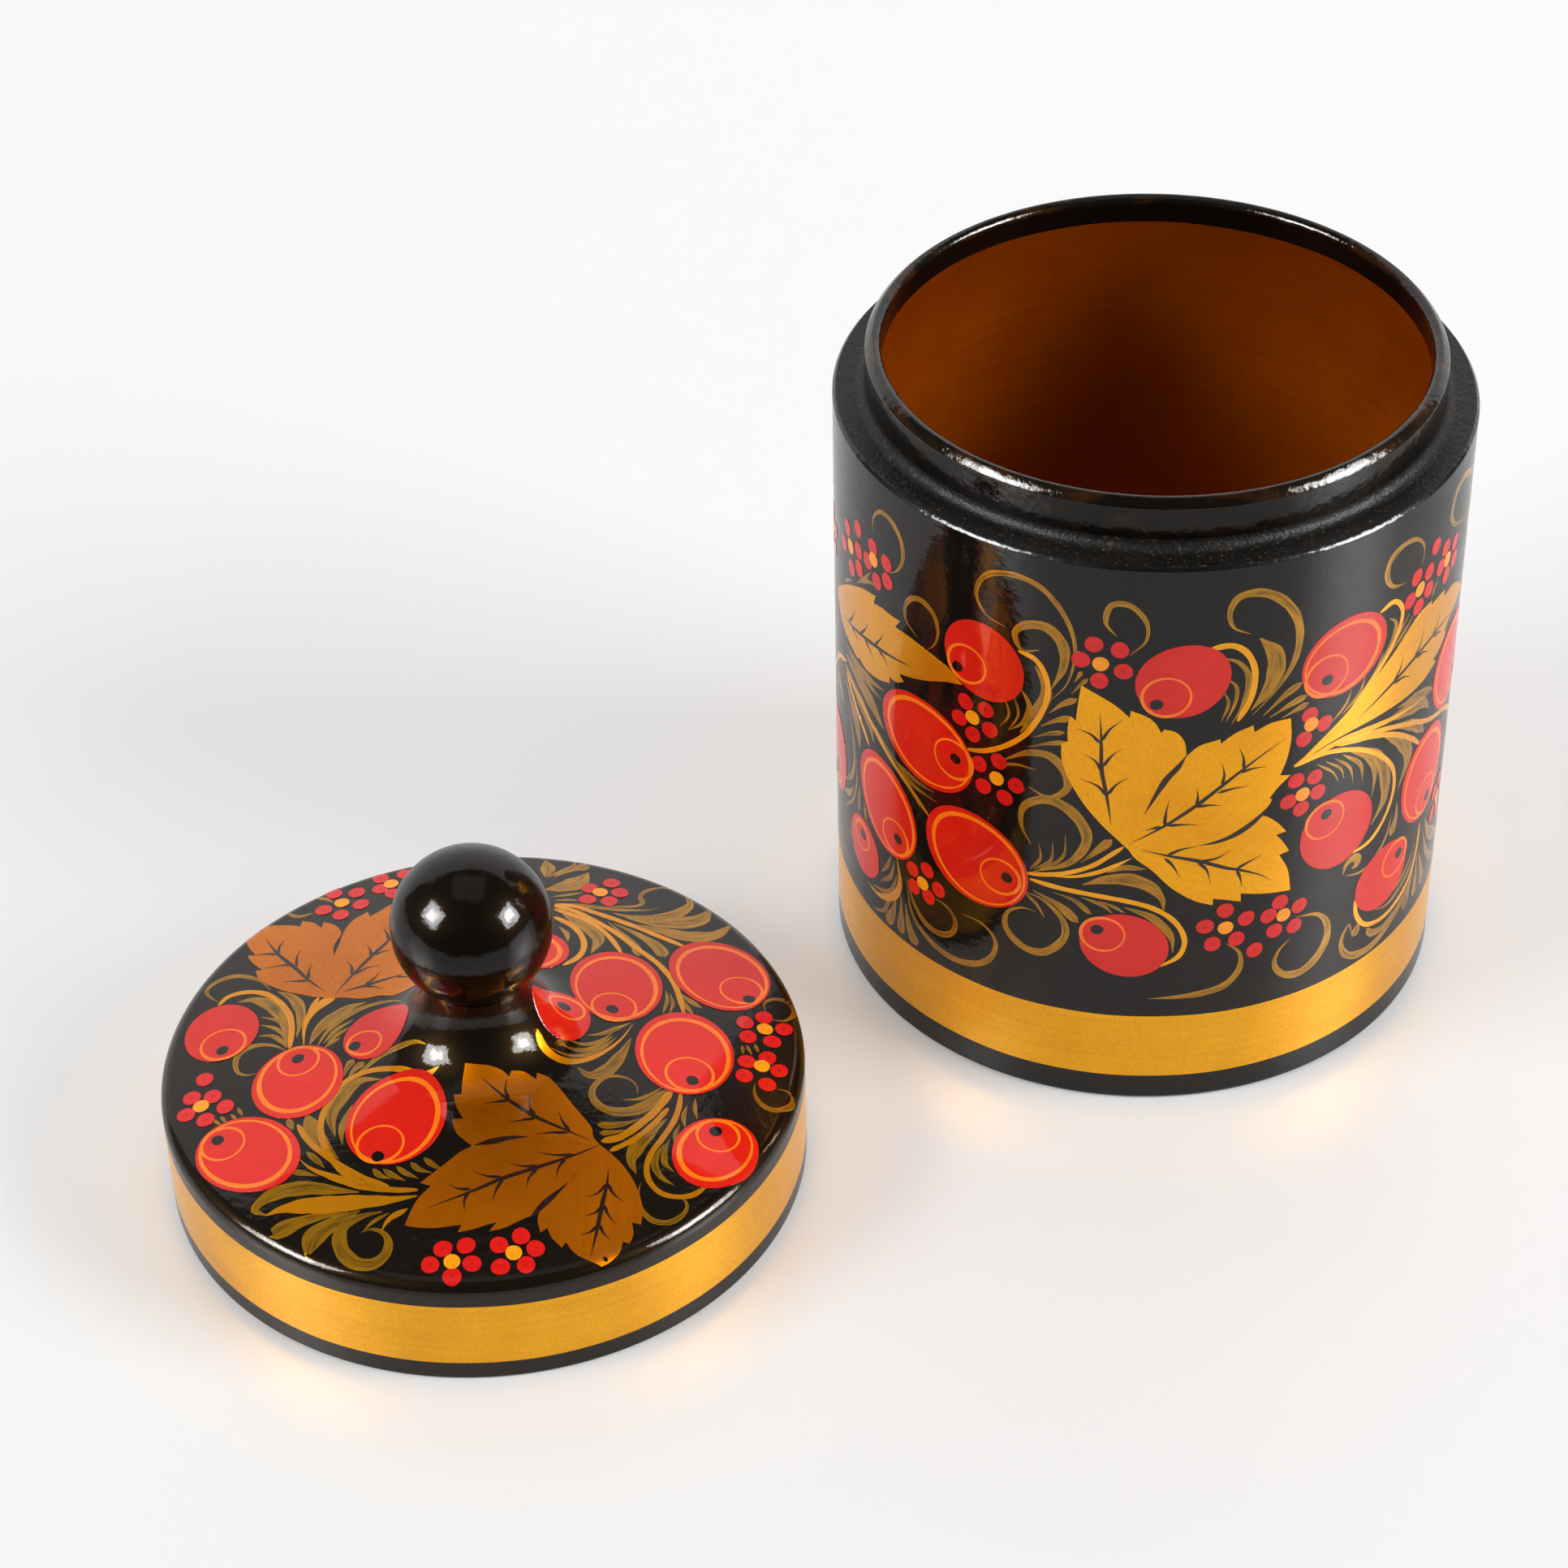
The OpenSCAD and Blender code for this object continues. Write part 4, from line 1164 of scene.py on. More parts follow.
LID_LEAVES = (
    (
        (17.3, -22, 1), (16.2, -20.6), (16, -19.1), (14.8, -17.2), (13.3, -15.1), (11.4, -12.3),
        (9.9, -10.6), (8.3, -10.2, 1), (8.2, -11.2, 1), (6.5, -10.4), (4.8, -10.6, 1), (4.5, -11.4, 1),
        (3.7, -10.8), (1.9, -10.4), (0, -10.3), (-1.5, -10.1, 1), (-1.9, -12), (-2, -13.8, 1),
        (-3.1, -13.8, 1), (-2.7, -15.6), (-1.6, -17.8, 1), (-3.2, -17.8, 1), (-2.7, -19.7),
        (-1.5, -21.2), (-0.2, -22.4, 1), (8, -22), (12, -22),
    ),
    (
        (17.3, -22, 1), (12, -21.4), (7.1, -21), (-0.2, -22.4, 1), (-1.9, -23.4), (-3.7, -25.1),
        (-4.9, -26.2), (-7.1, -28.2, 1), (-5.6, -28.8, 1), (-7.1, -30.5), (-8, -32.3), (-8.9, -35, 1),
        (-7.7, -35.4), (-4.9, -35.7), (-1.2, -35.3, 1), (-1.7, -36.5, 1), (0, -36.2), (1.9, -35.5),
        (3.5, -35, 1), (2.5, -36.5, 1), (4.6, -35.9), (6.5, -34.8), (8.2, -33.9, 1), (10.8, -31.4),
        (12.9, -28.6, 1), (16.5, -25),
    ),
    (
        (17.3, -22, 1), (15, -25.2), (12.5, -28.4, 1), (10.7, -31.4), (9.1, -33.6), (9, -35.1),
        (9.4, -36.7, 1), (10.3, -35.9, 1), (10.8, -37.3), (12.3, -39.1, 1), (12.8, -38.2, 1),
        (13.9, -39.8), (15.7, -41), (17.6, -41.5, 1), (18.8, -40.8), (20.1, -39.4), (20.4, -37.9, 1),
        (21.3, -38.2, 1), (21.8, -36.7), (21.6, -34.7, 1), (22.8, -35, 1), (23, -33), (22.7, -30.5),
        (21.6, -27.4), (20.1, -24.9), (18.5, -23.1),
    ),
    (
        (-21.6, 9, 1), (-24.4, 9.9, 1), (-26.2, 10.9, 1), (-28.7, 12.2), (-31.2, 14.2), (-32.9, 15.9),
        (-33.7, 18.3, 1), (-32.6, 18.2, 1), (-33.8, 19.6), (-34.9, 21.4), (-35.2, 22.3, 1),
        (-34.1, 22.3, 1), (-35.2, 24.2), (-35.8, 26.1), (-35.6, 28, 1), (-33.4, 29.6, 1), (-31.2, 29.2),
        (-29.3, 28.8), (-28.1, 28.2, 1), (-27.8, 29.6, 1), (-26.2, 28.9), (-24.8, 27.2, 1),
        (-24.6, 28.7, 1), (-23.1, 27.8), (-22.1, 26.4), (-21.7, 25.2), (-22.5, 22), (-22.3, 19.4, 1),
    ),
    (
        (-21.6, 9, 1), (-22.3, 19.4, 1), (-21.8, 22), (-21.4, 25.2), (-21, 26.7), (-20.1, 28.5),
        (-18.2, 30.3, 1), (-17.8, 28.9, 1), (-16.4, 30.2), (-15.1, 31.6), (-12.2, 33.6, 1), (-11.6, 30),
        (-11.9, 27.4, 1), (-10.2, 27, 1), (-10.2, 24), (-10.8, 21.6, 1), (-9.2, 21.4, 1), (-10, 18),
        (-12.4, 15.4, 1), (-16, 12.6),
    ),
    (
        (-21.6, 9, 1), (-19.1, 8.5), (-18.2, 8, 1), (-16.7, 7.8), (-14.8, 8), (-12.7, 7.5, 1),
        (-10.8, 8), (-9.3, 9), (-8.3, 10.6, 1), (-9.6, 12.2), (-9.6, 13.6, 1), (-10.8, 14),
        (-12.4, 15.4, 1), (-16, 13),
    ),
    (
        (6.4, 30.8, 1), (3.5, 33.2), (0.8, 35.6, 1), (1.3, 36.7, 1), (-1.2, 38.1), (-3.2, 39.1, 1),
        (-2.8, 40.3, 1), (-5.5, 40.9), (-8.8, 41.2, 1), (-8.5, 38.6, 1), (-7.3, 38.5, 1), (-7.6, 36.2),
        (-6.8, 34.2, 1), (-5.5, 34.6, 1), (-4, 32.3), (-1, 30.6), (2.5, 30.2),
    ),
    (
        (6.4, 30.8, 1), (2.5, 29.7), (-1, 29.9), (-4, 31, 1), (-4.4, 29.7, 1), (-6.8, 29.8),
        (-9, 28.2, 1), (-8.6, 26.2), (-7, 24.6, 1), (-6.2, 25.5, 1), (-4.8, 24.1), (-2.6, 23.3, 1),
        (-2.1, 24.6, 1), (0.5, 24.6), (3.2, 26.4), (5.2, 28.8),
    ),
)
LID_VEINS = (
    (((0, -22.3), (2.5, -21.7), (5, -21.1), (7.4, -20.9)),
     ((8, -34.2), (9.8, -32), (11.4, -30.2), (12.9, -28.5))),
    (((0.9, -11.8), (4.6, -14.8), (8.3, -17.5), (12.3, -19.5), (15.6, -21.1)),
     ((8.5, -17.7), (4.5, -18.5)), ((8.3, -17.5), (7.4, -15.8), (7.4, -13.8)),
     ((4.6, -14.8), (1.2, -15.3)), ((4.6, -14.7), (4, -13.2), (4.2, -11.7)),
     ((12.9, -20), (10.6, -20.1), (8.3, -20.4)), ((13, -19.7), (12, -18.2), (11.4, -16.6))),
    (((17.3, -21.7), (13.9, -23.7), (9, -25.9), (4, -27.9), (0, -29.9), (-6.2, -32.5)),
     ((13.9, -23.7), (11, -23.9), (8.6, -23.5)), ((9, -25.8), (6.2, -25.8), (4.9, -25.2)),
     ((4, -27.7), (1.6, -27.4), (0.2, -26.7)), ((-0.1, -29.6), (-2, -29.4), (-3.2, -28.7)),
     ((12.6, -24.2), (11.6, -26), (11.3, -27.7)), ((8.8, -26.1), (7.6, -27.8), (7.3, -29.6)),
     ((4.2, -27.9), (3.3, -29.6), (2.8, -31.6)), ((-0.4, -29.9), (-1, -31.4), (-0.9, -33))),
    (((18.3, -25.9), (18.2, -28.3), (17.6, -31.7), (17.1, -35.1), (16.2, -40.4)),
     ((18.2, -28.3), (17, -30), (15.4, -30.8)), ((18.3, -28.3), (19, -30), (20.5, -31.4)),
     ((17.7, -31.9), (16.8, -33.2), (15.3, -33.9)), ((17.8, -31.9), (18.4, -33.6), (19.4, -35)),
     ((17.1, -35.1), (16.2, -36.4), (14.7, -37)), ((17.2, -35.1), (17.8, -36.6), (18.8, -37.8))),
    (((-32.9, 25.9), (-30.6, 21.5), (-27.8, 17.6), (-25.6, 14.2), (-22.8, 10.7)),
     ((-25.6, 14), (-27.4, 14.3), (-29.3, 14.5)), ((-25.6, 14.4), (-25.7, 16.2), (-25.4, 18.1)),
     ((-27.8, 17.9), (-29, 18.6), (-32.4, 18.5)), ((-27.6, 17.9), (-27.8, 20), (-27.5, 21.9)),
     ((-30.6, 21.6), (-32.4, 22.1), (-34.6, 22.2)), ((-30.6, 21.8), (-30.7, 23.4), (-30, 25.2))),
    (((-12.8, 26), (-14.5, 21.8), (-16.7, 18.1), (-19.4, 13.4), (-21.3, 9.7)),
     ((-19.3, 14.1), (-19.4, 16), (-20.4, 17.7)), ((-19.1, 13.8), (-17.2, 15.2), (-15.1, 15.6)),
     ((-16.8, 18.1), (-17, 19.8), (-17.7, 21.3)), ((-16.6, 18.2), (-15.4, 18.9), (-13.9, 19.2)),
     ((-14.5, 22), (-14.8, 23.6), (-15.6, 25.5))),
    (((-20.2, 10.1), (-17.3, 10.8), (-14.6, 11.6), (-11.6, 12.6)),
     ((-17.2, 10.9), (-15.9, 12.3), (-15.1, 13.9)), ((-17.4, 10.7), (-15.8, 10.3), (-14.4, 9.5)),
     ((-12.6, 12.1), (-11.6, 11.8), (-10.8, 11.7))),
    (((4.6, 31.6), (1, 33.2), (-3, 36), (-7.2, 39.6)), ((1.2, 33.1), (0.6, 34.4), (-0.4, 35.6)),
     ((-2.6, 35.8), (-3.2, 37), (-3.4, 38.2)), ((-0.6, 34.2), (-2.4, 33.4), (-3.8, 33.4)),
     ((-3.6, 36.4), (-5, 36), (-6.2, 36.2))),
    (((4.4, 29.8), (1, 28.2), (-3, 27.3), (-7.4, 27)), ((1.2, 28.3), (-0.4, 28.9), (-2, 29.2)),
     ((-3, 27.3), (-4.4, 28), (-5.6, 28.4)), ((0.8, 28.1), (-0.4, 26.8), (-1, 25.6)),
     ((-3.2, 27.2), (-4.4, 26.4), (-5, 25.4))),
)
LID_STEMS = (
    (0.9, None, (-27, -0.8), (-27.1, 3.9), (-27.8, 6.9), (-29.3, 9.7), (-31.5, 12.2), (-33.6, 13.2),
     (-35.5, 13.4), (-37.3, 12.8), (-38.4, 11.2)),
    (1.7, 0.85, (-25, -0.5), (-25.2, 2.9), (-24.7, 5.7), (-23.1, 7.9), (-21.2, 9.6)),
    (0.9, 0.7, (-25.1, 4.8), (-24.4, 7.6), (-23.6, 9.8)),
    (0.9, None, (9.3, 30.1), (12.3, 29.8), (15.4, 28.2), (18.5, 26.5), (21.6, 24.8), (25, 22.7),
     (28.6, 20.6)),
    (0.9, None, (9.3, 29.8), (12.3, 28.5), (15.4, 25.9), (18.5, 23), (21.6, 19.3), (24.7, 15.9),
     (26.9, 11.9), (27.8, 8.5), (28.5, 4.8)),
    (0.8, None, (9.3, 28.9), (12.3, 27.3), (15.4, 24.8), (17.6, 21.8), (19.4, 17.9)),
    (0.9, None, (9.4, 26.7), (11.7, 24.8), (13.3, 22.4), (14, 19.3), (13.3, 16.2), (11.2, 13.8)),
    (0.9, None, (-7.4, -29.3), (-10.5, -29.1), (-13.6, -28.3), (-16.7, -26.5), (-18.8, -24),
     (-20.4, -21.2), (-21.3, -18.1), (-21.3, -15.1), (-20.4, -12.3), (-18.8, -9.6), (-16.7, -8.2),
     (-13.9, -7.7), (-11.1, -8.3), (-8.9, -9.5), (-7.5, -10.9)),
    (1.3, 0.6, (-23.9, -22.4), (-22.5, -24), (-19.4, -25.9), (-15.7, -27.7), (-12, -28.8), (-8, -29.4)),
    (0.8, None, (-24.7, -16), (-23.1, -19.1), (-20.4, -22.2), (-17.3, -24.9), (-14.5, -26.9),
     (-11.4, -28.4)),
    (1.3, 0.15, (8.3, -4.4), (9, -6.1), (10.8, -7.2), (13, -7.3), (15.4, -6.4), (17.9, -4.3),
     (19.8, -1.8), (21.3, 1.4)),
    (1.1, None, (17.3, -21.2), (19.8, -20.3), (22.2, -18.1), (24.4, -15.4), (25.9, -12.9), (26.9, -10.9)),
    (0.8, None, (18.5, -22.8), (21.6, -20.6), (24.4, -17.5), (26.4, -14.4)),
    (0.8, None, (31.6, -27.9), (29.6, -29.6), (27.2, -30), (25.3, -29.4), (23.8, -27.4), (23.5, -25.2),
     (24.1, -22.8), (25.6, -20), (27.2, -16.6), (27.9, -13.8), (28.1, -11.2)),
    (0.9, 0.3, (-8.6, -32.3), (-11.1, -33.9), (-12, -35.7)),
    (2.9, 0.62, (-7.4, -30.3), (-11.1, -30.7), (-15.1, -30.7), (-19.4, -30.7), (-23.1, -30.5),
     (-26, -30.7), (-28, -31.5)),
)
LID_GRASS = (
    (1.7, 0.4, (-29.9, 12.5), (-27.7, 10.6), (-26.4, 8.2), (-25.9, 5), (-26.2, 1.4)),
    (2.1, 0.4, (-35.6, 11.3), (-33.4, 11.4), (-30.8, 9.6), (-29, 7), (-28, 4), (-27.4, 0.6)),
    (0.7, 0.5, (-31.8, 7.1), (-29.4, 5.8), (-28, 3.8), (-27.5, 0.6)),
    (0.7, 0.5, (-31.9, 5.4), (-29.7, 4.2), (-28.1, 2.3), (-27.5, -0.2)),
    (0.8, 0.5, (-31.8, 2.9), (-30, 2.6), (-28.4, 1.1), (-27.4, -0.6)),
    (0.9, 0.5, (-31.2, -4.9), (-32.7, -5), (-34, -4.3), (-34.6, -2.7), (-34.4, -0.6), (-32.7, 0.8),
     (-30.6, 0.8), (-28.7, -0.1), (-27.4, -1.3)),
    (2.2, 0.5, (-24.2, -0.6), (-23, 2.4), (-21, 4.6), (-18.9, 6.2), (-16.6, 6.9)),
    (1, 0.4, (-23, -1.2), (-21.9, 1.4), (-19.8, 3.9), (-17, 5.7), (-13.9, 6.3), (-12, 5.7), (-11.1, 4.4)),
    (0.8, 0.5, (-22.2, -0.8), (-20.4, 1.7), (-18.2, 3.3)),
    (0.7, 0.5, (-21.6, -0.8), (-20.2, 0.6), (-18.6, 1.8)),
    (0.8, 0.5, (-22, -1.8), (-20.9, -0.8), (-19.8, -0.2)),
    (0.9, 0.5, (-38.4, 12), (-39.8, 13.4), (-40.6, 15), (-39.8, 16.5), (-38.3, 17.4), (-36.4, 17.7),
     (-34.3, 16.8), (-32.4, 15.3), (-31, 13.1)),
    (0.8, 0.5, (-26.4, 31.6), (-28.4, 31), (-30.1, 32.1), (-30.5, 33.3)),
    (0.8, 0.5, (-26.3, 36.9), (-26.2, 35.8), (-24.7, 35), (-23.6, 33.8)),
    (1.1, 0.5, (6.2, 31.6), (3.6, 35.4), (2.6, 38.8), (3.6, 42.2)),
    (0.8, 0.5, (6.8, 32.6), (5.6, 36), (5.8, 39.2)),
    (1, 0.5, (5.6, 29), (4, 26.2), (1, 23.6), (-1.8, 22.6)),
    (0.9, 0.5, (-9.4, 21.4), (-8.2, 23.2), (-5.8, 23.2), (-4.8, 22.8)),
    (3.4, 0.55, (7.6, 34.4), (10.2, 35.2), (12.6, 36.8), (14, 39.5)),
    (2.2, 0.5, (7.6, 38.1), (7.9, 40.6), (7.4, 43)),
    (0.9, 0.5, (7.7, 38), (9.9, 39.7), (11.7, 41.5), (11.9, 43.2)),
    (1.9, 0.82, (9, 38.1), (10.8, 39.9), (12.7, 41), (14.2, 41)),
    (0.6, 0.5, (8.8, 32.4), (11.1, 33), (13.3, 33.8)),
    (0.6, 0.5, (9.3, 31.4), (11.1, 31.6), (13, 31.5)),
    (0.6, 0.5, (9.3, 30.5), (12.3, 30.3), (16, 30.1)),
    (0.7, 0.5, (11.7, 29.9), (15.4, 29.6), (19.8, 29.3), (23.5, 29.8), (24.7, 30.6)),
    (0.7, 0.5, (15.4, 30.1), (18.5, 30.1), (21.6, 30.7), (22.2, 31.6), (21.8, 33.2), (22.8, 35),
     (25.3, 36), (27.6, 35.2)),
    (2, 0.6, (17.9, 28.3), (21.6, 27.4), (25.3, 28), (28.1, 30), (29.2, 32), (28.4, 34.2)),
    (3.1, 0.6, (19.8, 27.3), (23.5, 26.5), (27.2, 26.7), (30.6, 27.9), (32.3, 31.2)),
    (2.6, 0.55, (21.6, 25.5), (25.3, 24.3), (29, 23.4), (32.7, 24.2), (35.4, 27.4)),
    (2.1, 0.6, (9.9, 28.9), (12.3, 25.9), (14.6, 23.6), (16, 21.2), (15.1, 17.4)),
    (1.5, 0.8, (17.3, 25.8), (19.6, 22.6), (21.4, 19.7), (21.9, 17.4)),
    (2.2, 0.85, (18.2, 25.5), (21.6, 23), (24.4, 20.3), (25.7, 17.7)),
    (0.8, 0.5, (10.2, 24.2), (11.4, 22.1), (11.6, 20.1)),
    (0.6, 0.5, (25.9, 9.7), (26.1, 7.6), (25.5, 4.5)),
    (0.5, 0.5, (26.4, 9.2), (26.9, 7), (26.4, 4.5)),
    (1, 0.6, (27.9, 9.4), (29.3, 7.9), (31, 6.5)),
    (0.8, 0.6, (27.9, 8.8), (28.8, 6.6), (29.8, 4.9)),
    (0.8, 0.5, (40, 7.3), (39.8, 8.8), (40.7, 10), (42.6, 10.2), (44, 9), (44, 7.3), (42.9, 5.7),
     (40.4, 5.5)),
    (0.6, 0.4, (-37, -12.7), (-35.6, -14.1)),
    (0.6, 0.4, (-35.8, -12.4), (-34.9, -13.8)),
    (0.6, 0.4, (-34.4, -12.3), (-33.5, -13.4)),
    (0.6, 0.4, (-33.5, -11.2), (-32.7, -12.9)),
    (2.5, 0.3, (-23.6, -14.2), (-22.6, -17), (-21, -20), (-18.6, -23)),
    (1.1, 0.4, (-26.2, -14.6), (-25.3, -16.9)),
    (2.1, 0.5, (-19.3, -19), (-20, -15), (-18.2, -11.2), (-16.4, -9.4), (-13.4, -9.6)),
    (1, 0.5, (-18.2, -20.6), (-18.4, -17.5), (-17.2, -13.6)),
    (1.3, 0.8, (-18.8, -8.2), (-18.4, -6.6), (-17.6, -5)),
    (1.3, 0.8, (-18.2, -8.8), (-17.3, -7), (-16, -5.9)),
    (1, 0.5, (-17.9, -8.9), (-15.7, -7), (-13.9, -5.3), (-11.4, -4.7), (-8.9, -5.3), (-7.1, -6.6)),
    (1.1, 0.4, (-8.5, -9.4), (-7.2, -10.4), (-5.2, -9.8)),
    (1, 0.3, (-23.1, -21.1), (-21.6, -22.8), (-20.4, -24.3)),
    (1, 0.3, (-25.3, -24.2), (-23.1, -24.9), (-21.3, -25.6)),
    (2.5, 0.55, (-15.4, -29), (-19.4, -28.2), (-22.5, -27.5), (-26, -27.6), (-28.6, -28.8),
     (-29.6, -30.4), (-27.8, -31.4)),
    (2.8, 0.82, (-16.7, -32.3), (-20, -32.5), (-23.4, -33.2), (-27.2, -35)),
    (3.1, 0.7, (-15.1, -32.1), (-18.4, -33.8), (-21, -35.8), (-21.9, -39)),
    (2.1, 0.42, (-12, -32.5), (-15.1, -33.2), (-17.3, -34.7), (-17.6, -37), (-16.6, -39.4),
     (-14.8, -40.8), (-12.7, -40.9), (-11.2, -39.4), (-11, -37.3), (-12, -35.8), (-13.6, -35.3),
     (-14.7, -35.7)),
    (0.6, 0.4, (-11.1, -32.8), (-13.3, -34.2), (-14.5, -35.6)),
    (0.9, 0.3, (-13.7, -25.2), (-12.7, -26.5), (-11.1, -27.2)),
    (0.9, 0.3, (-12.3, -25.4), (-11.1, -26.5), (-9.1, -27.7)),
    (0.9, 0.3, (-10.5, -25.1), (-9.3, -26.3), (-7.4, -27.4)),
    (0.9, 0.3, (-8.6, -24.6), (-7.4, -25.9), (-5.6, -26.6)),
    (0.9, 0.3, (-6.8, -24), (-5.6, -25.2), (-4, -26.3)),
    (0.7, 0.5, (10.2, -6), (13, -6.3), (15.7, -5.3), (17.6, -3.6), (19.1, -1.5)),
    (0.8, 0.5, (11.4, -4.8), (14.2, -5), (16.7, -3.7), (18.6, -1.4)),
    (0.7, 0.5, (12.3, -3.6), (14.8, -3.7), (17, -2.6), (18.5, -0.8)),
    (0.8, 0.5, (15.1, -1.8), (17, -1.2), (19.1, 0.3), (21, 1.7)),
    (2.1, 0.6, (21.1, -1.5), (19.8, -5), (17.6, -8.6), (15.4, -9.5), (13.8, -8.2)),
    (1.8, 0.75, (22.1, -12.1), (22.1, -11), (21.3, -9.8), (19.4, -9.2), (17.6, -9.7), (16.2, -11.4),
     (15.9, -13.2), (17, -15), (19, -15.8), (22, -15.2), (24.7, -12.9), (26.2, -11)),
    (0.6, 0.5, (20.2, -13.5), (22.2, -13.2), (24.4, -11.7), (25.6, -10.4)),
    (1.3, 0.2, (16.7, -18.3), (18.5, -18.3), (21, -17.6), (23.1, -16.4)),
    (1, 0.2, (17, -19.8), (18.8, -19.5), (21.3, -18.8)),
    (2.1, 0.45, (22.1, -26.5), (21.4, -24.2), (22.2, -21.8), (24, -19), (26.2, -16.4)),
    (1, 0.4, (27.2, -28), (25.6, -26.9), (24.6, -24.9), (25.1, -22.5), (26, -20.9)),
    (0.9, 0.4, (27.2, -25.7), (26, -24.4), (25.9, -22.5), (26.6, -20)),
    (0.7, 0.5, (29, -13.5), (28.5, -15.7), (28.7, -17.8)),
    (0.6, 0.5, (30.1, -12), (30.1, -14.4), (30.4, -16)),
    (0.6, 0.5, (28, -17.2), (27.4, -19), (27.2, -20.8)),
    (0.9, 0.5, (22.7, -28), (22.4, -29.9), (22.8, -32.3), (24.4, -34.2), (26.5, -34.4), (28.4, -33),
     (29, -31.4), (28.5, -30.3), (27, -30)),
    (0.6, 0.4, (36.7, -0.6), (36.8, -2.4)),
    (0.6, 0.4, (37.3, -0.4), (38, -2.4)),
    (0.6, 0.4, (38.4, 0), (39, -1.8)),
    (0.9, 0.5, (38.4, -8), (38.3, -9.8), (39, -11.7), (40.7, -12.9), (42.6, -12.3), (43.6, -10.7),
     (43.2, -9.2), (41.4, -8.7)),
)

wall = make_films("wall", wall_at, cell=1.0, step=0.009, leaf=LEAF, stem=STEM)
lid = make_films("lid", lid_at, cell=0.8, step=0.017, leaf=SHADED_LID_LEAF, stem=SHADED_LID_STEM)
HALF_ROUND = math.pi * BODY_R


def paint_all(films, berries, florets, leaves, ribs, stems, grass, shift=0.0):
    """Lays one composition on its surface, moved round the jar by the shift."""
    for width, peak, *points in grass:
        stroke(films["grass"], width, peak, points, shift)
    for width, peak, *points in stems:
        stroke(films["stems"], width, peak, points, shift)
    for outline in leaves:
        leaflet(films["leaves"], outline, shift)
    for lines in ribs:
        veins(films["veins"], lines, shift)
    for heart, petals in florets:
        floret(films, heart, petals, shift)
    for one in berries:
        berry(films, *one, shift=shift)


for half in range(2):
    turn = half * HALF_ROUND
    for film in wall.values():
        film.patches = 0
    paint_all(wall, WALL_BERRIES, WALL_FLORETS, WALL_LEAVES, WALL_VEINS, WALL_STEMS, WALL_GRASS, turn)
    for width, x, y, radius, start, winding in WALL_CURLS:
        curl(wall["grass"], width, x, y, radius, start, winding, shift=turn)
paint_all(lid, LID_BERRIES, LID_FLORETS, LID_LEAVES, LID_VEINS, LID_STEMS, LID_GRASS)
for film in wall.values():
    film.build("jar", "jar_lacquer")
for film in lid.values():
    film.build("lid", "lid_lacquer")


# ---------------------------------------------------------------- stage, lights and camera
def stage_material(name, colour, glow, shine=0.0):
    """White that glows a little, so shadows on it stay faint. shine lets it mirror the lamps."""
    made = bpy.data.materials.new(name)
    made.use_nodes = True
    shader = made.node_tree.nodes["Principled BSDF"]
    shader.inputs["Base Color"].default_value = (colour, colour, colour, 1)
    shader.inputs["Roughness"].default_value = 0.3
    shader.inputs["Specular IOR Level"].default_value = shine
    shader.inputs["Emission Color"].default_value = (1, 0.997, 1, 1)
    shader.inputs["Emission Strength"].default_value = glow
    return made


def sheet(name, near, far, material):
    """A white sheet as wide as the stage between two edges, each given as (y, z)."""
    corners = [(-SIDE_X, *near), (SIDE_X, *near), (SIDE_X, *far), (-SIDE_X, *far)]
    mesh = bpy.data.meshes.new(name)
    mesh.from_pydata(corners, [], [(0, 1, 2, 3)])
    mesh.materials.append(material)
    made = bpy.data.objects.new(name, mesh)
    bpy.context.scene.collection.objects.link(made)
    return made


TABLE_FRONT = -0.472
BACK_Y = 1.1
BACK_H = BACK_Y * math.tan(math.radians(57.5))
SIDE_X = BACK_Y * math.tan(math.radians(60))
APRON_FRONT = -3
APRON_DROP = -0.0005
table_white = stage_material("table_white", 0.52, 0.21, 0.55)
back_white = stage_material("back_white", 0.3, 0.72)
sheet("floor", (TABLE_FRONT, 0), (BACK_Y, 0), table_white)
sheet("backdrop", (BACK_Y, 0), (BACK_Y, BACK_H), back_white)
# The floor in front of the table's edge is seen, but neither mirrors in the object nor lights it.
apron = sheet("floor_apron", (APRON_FRONT, APRON_DROP), (TABLE_FRONT, APRON_DROP), table_white)
apron.visible_glossy = False
apron.visible_diffuse = False


LAMPS_FACE = Vector((LID_X * MM / 2, LID_Y * MM / 2, 0.04))


def lamp(name, toward, distance, wide, high, radiance):
    """A rectangular lamp, by its direction and distance from the point it faces and how bright it looks."""
    data = bpy.data.lights.new(name, "AREA")
    data.shape = "RECTANGLE"
    data.size = wide
    data.size_y = high
    data.energy = radiance * math.pi * wide * high
    made = bpy.data.objects.new(name, data)
    made.location = LAMPS_FACE + toward * distance
    made.rotation_mode = "QUATERNION"
    made.rotation_quaternion = toward.to_track_quat("Z", "Y")
    bpy.context.scene.collection.objects.link(made)
    return made


SOFTBOX_AT = 2.4
SOFTBOX_W = 1.24
SOFTBOX_H = 1.04


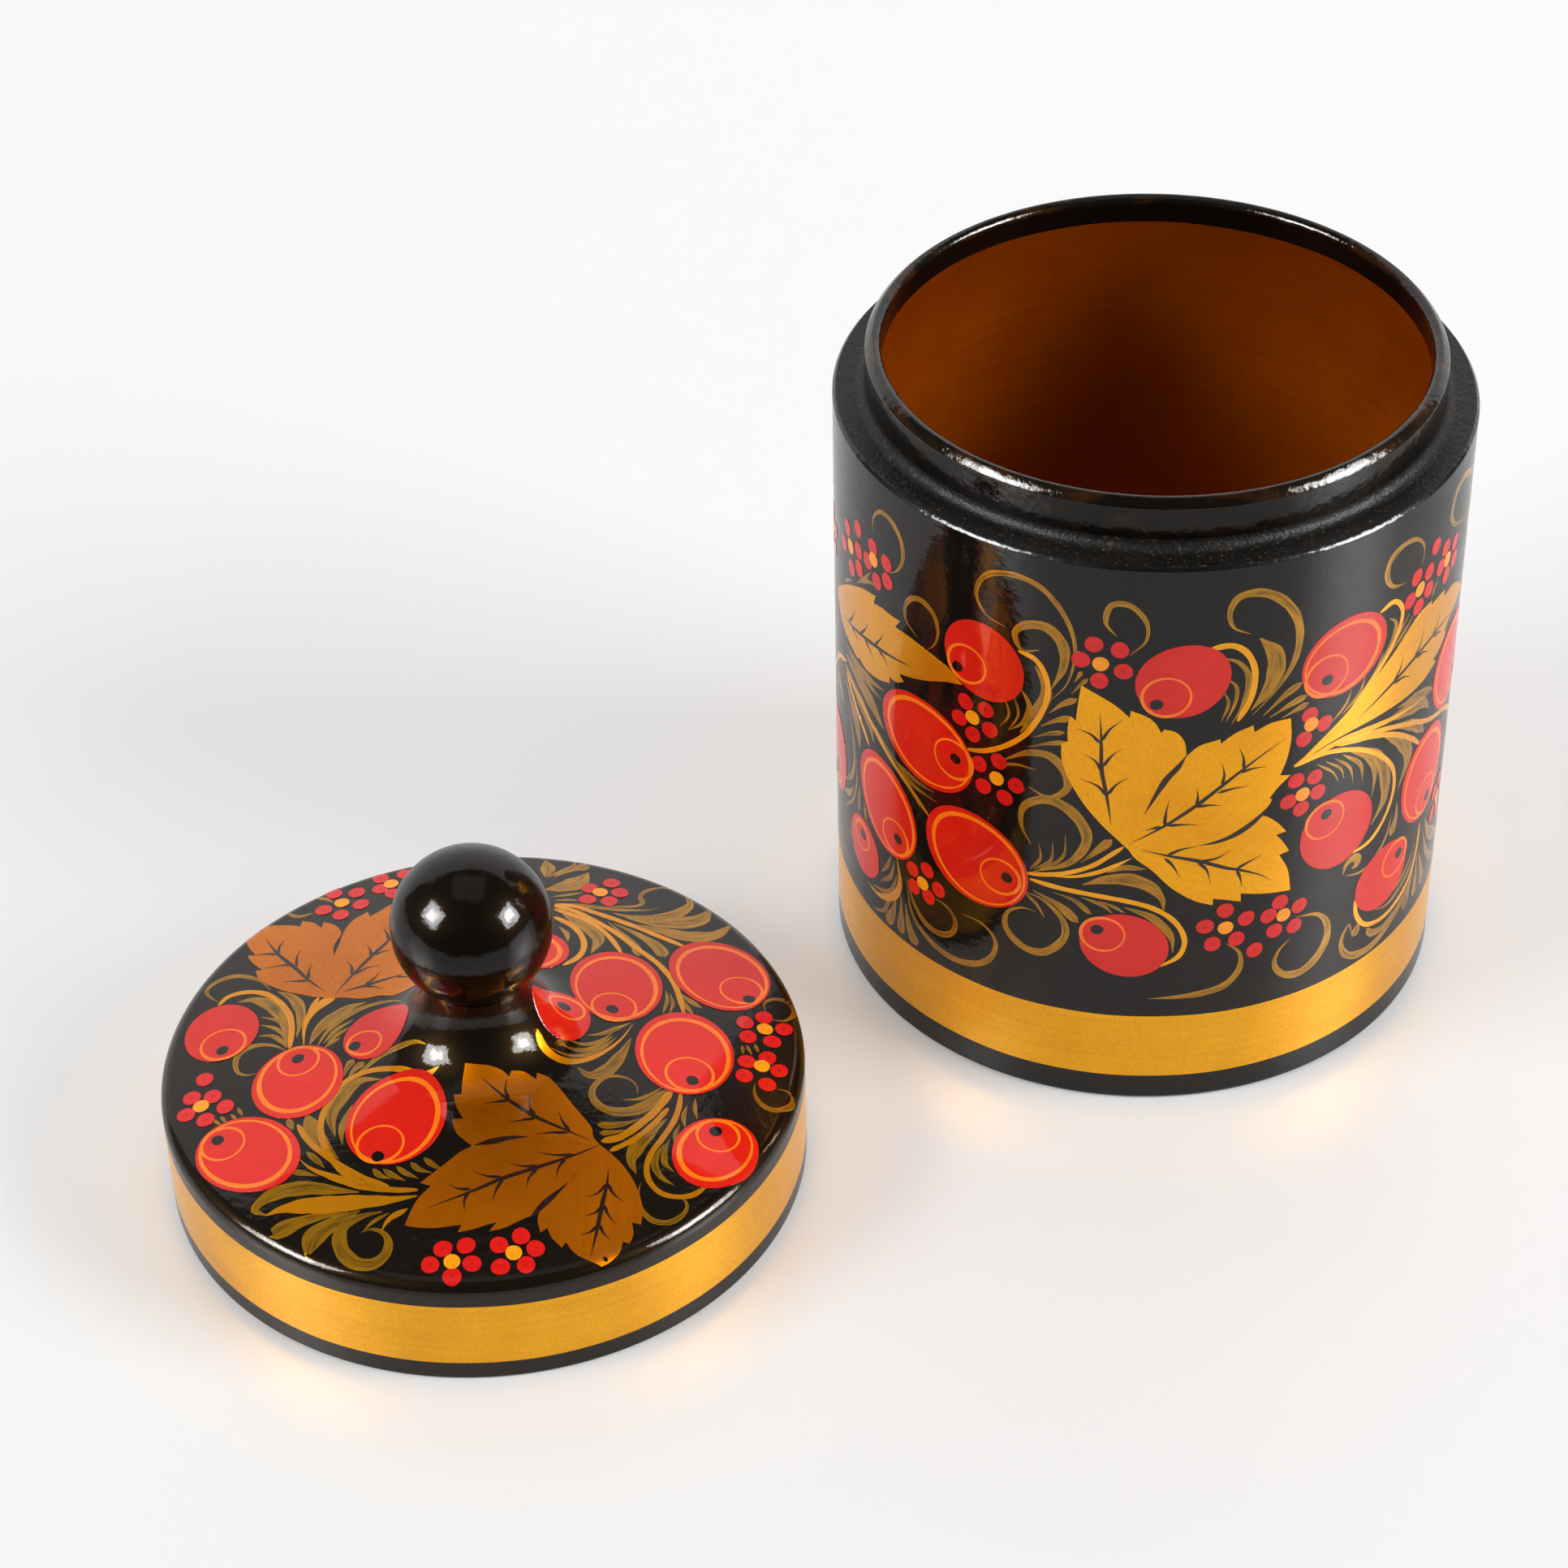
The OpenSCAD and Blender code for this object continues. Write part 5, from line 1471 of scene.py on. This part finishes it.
def softbox(name, azimuth, elevation, glare, fill):
    """A softbox: glare in reflections, brightest in the middle, and fill. azimuth is from +Y to +X."""
    a, e = math.radians(azimuth), math.radians(elevation)
    toward = Vector((math.sin(a) * math.cos(e), math.cos(a) * math.cos(e), math.sin(e)))
    core_at = SOFTBOX_AT - 0.02
    lamp(name + "_glare", toward, SOFTBOX_AT, SOFTBOX_W, SOFTBOX_H, glare).visible_diffuse = False
    lamp(name + "_core", toward, core_at, SOFTBOX_W / 2, SOFTBOX_H / 2, 1.4 * glare).visible_diffuse = False
    lamp(name + "_fill", toward, SOFTBOX_AT, SOFTBOX_W, SOFTBOX_H, fill).visible_glossy = False


softbox("softbox_left", azimuth=-112, elevation=32, glare=19, fill=11.5)
softbox("softbox_right", azimuth=108, elevation=27, glare=20, fill=15)
above = Vector((0, 0.05, 1)).normalized()
lamp("ceiling_bounce", above, 2.0, 3.0, 3.0, 0.9).visible_glossy = False
lamp("overhead_glare", above, 1.98, 1.4, 1.4, 0.4).visible_diffuse = False

# The room is dim, and the camera alone sees the pale page round the object.
world = bpy.data.worlds.new("room")
bpy.context.scene.world = world
world.use_nodes = True
tree = world.node_tree
dim = tree.nodes["Background"]
dim.inputs["Color"].default_value = (0.045, 0.044, 0.043, 1)
pale = tree.nodes.new("ShaderNodeBackground")
pale.inputs["Color"].default_value = (0.92, 0.91, 0.92, 1)
path = tree.nodes.new("ShaderNodeLightPath")
either = tree.nodes.new("ShaderNodeMixShader")
tree.links.new(path.outputs["Is Camera Ray"], either.inputs[0])
tree.links.new(dim.outputs[0], either.inputs[1])
tree.links.new(pale.outputs[0], either.inputs[2])
tree.links.new(either.outputs[0], tree.nodes["World Output"].inputs["Surface"])

CAMERA_AT = Vector((-0.05304, -0.46961, 0.39643))
CAMERA_DOWN = 0.6700
CAMERA_ROLL = -0.0242
CAMERA_LENS = 91.41
forward = Vector((0, math.cos(CAMERA_DOWN), -math.sin(CAMERA_DOWN)))
level = Vector((1, 0, 0))
upward = level.cross(forward)
right = level * math.cos(CAMERA_ROLL) + upward * math.sin(CAMERA_ROLL)
up = upward * math.cos(CAMERA_ROLL) - level * math.sin(CAMERA_ROLL)
camera_data = bpy.data.cameras.new("camera")
camera_data.sensor_width = 36
camera_data.lens = CAMERA_LENS
camera_data.clip_start = 0.01
camera_data.clip_end = 20
camera = bpy.data.objects.new("camera", camera_data)
turned = Matrix((right, up, -forward)).transposed().to_4x4()
camera.matrix_world = Matrix.Translation(CAMERA_AT) @ turned
bpy.context.scene.collection.objects.link(camera)
bpy.context.scene.camera = camera
bpy.context.scene.view_settings.view_transform = "Standard"
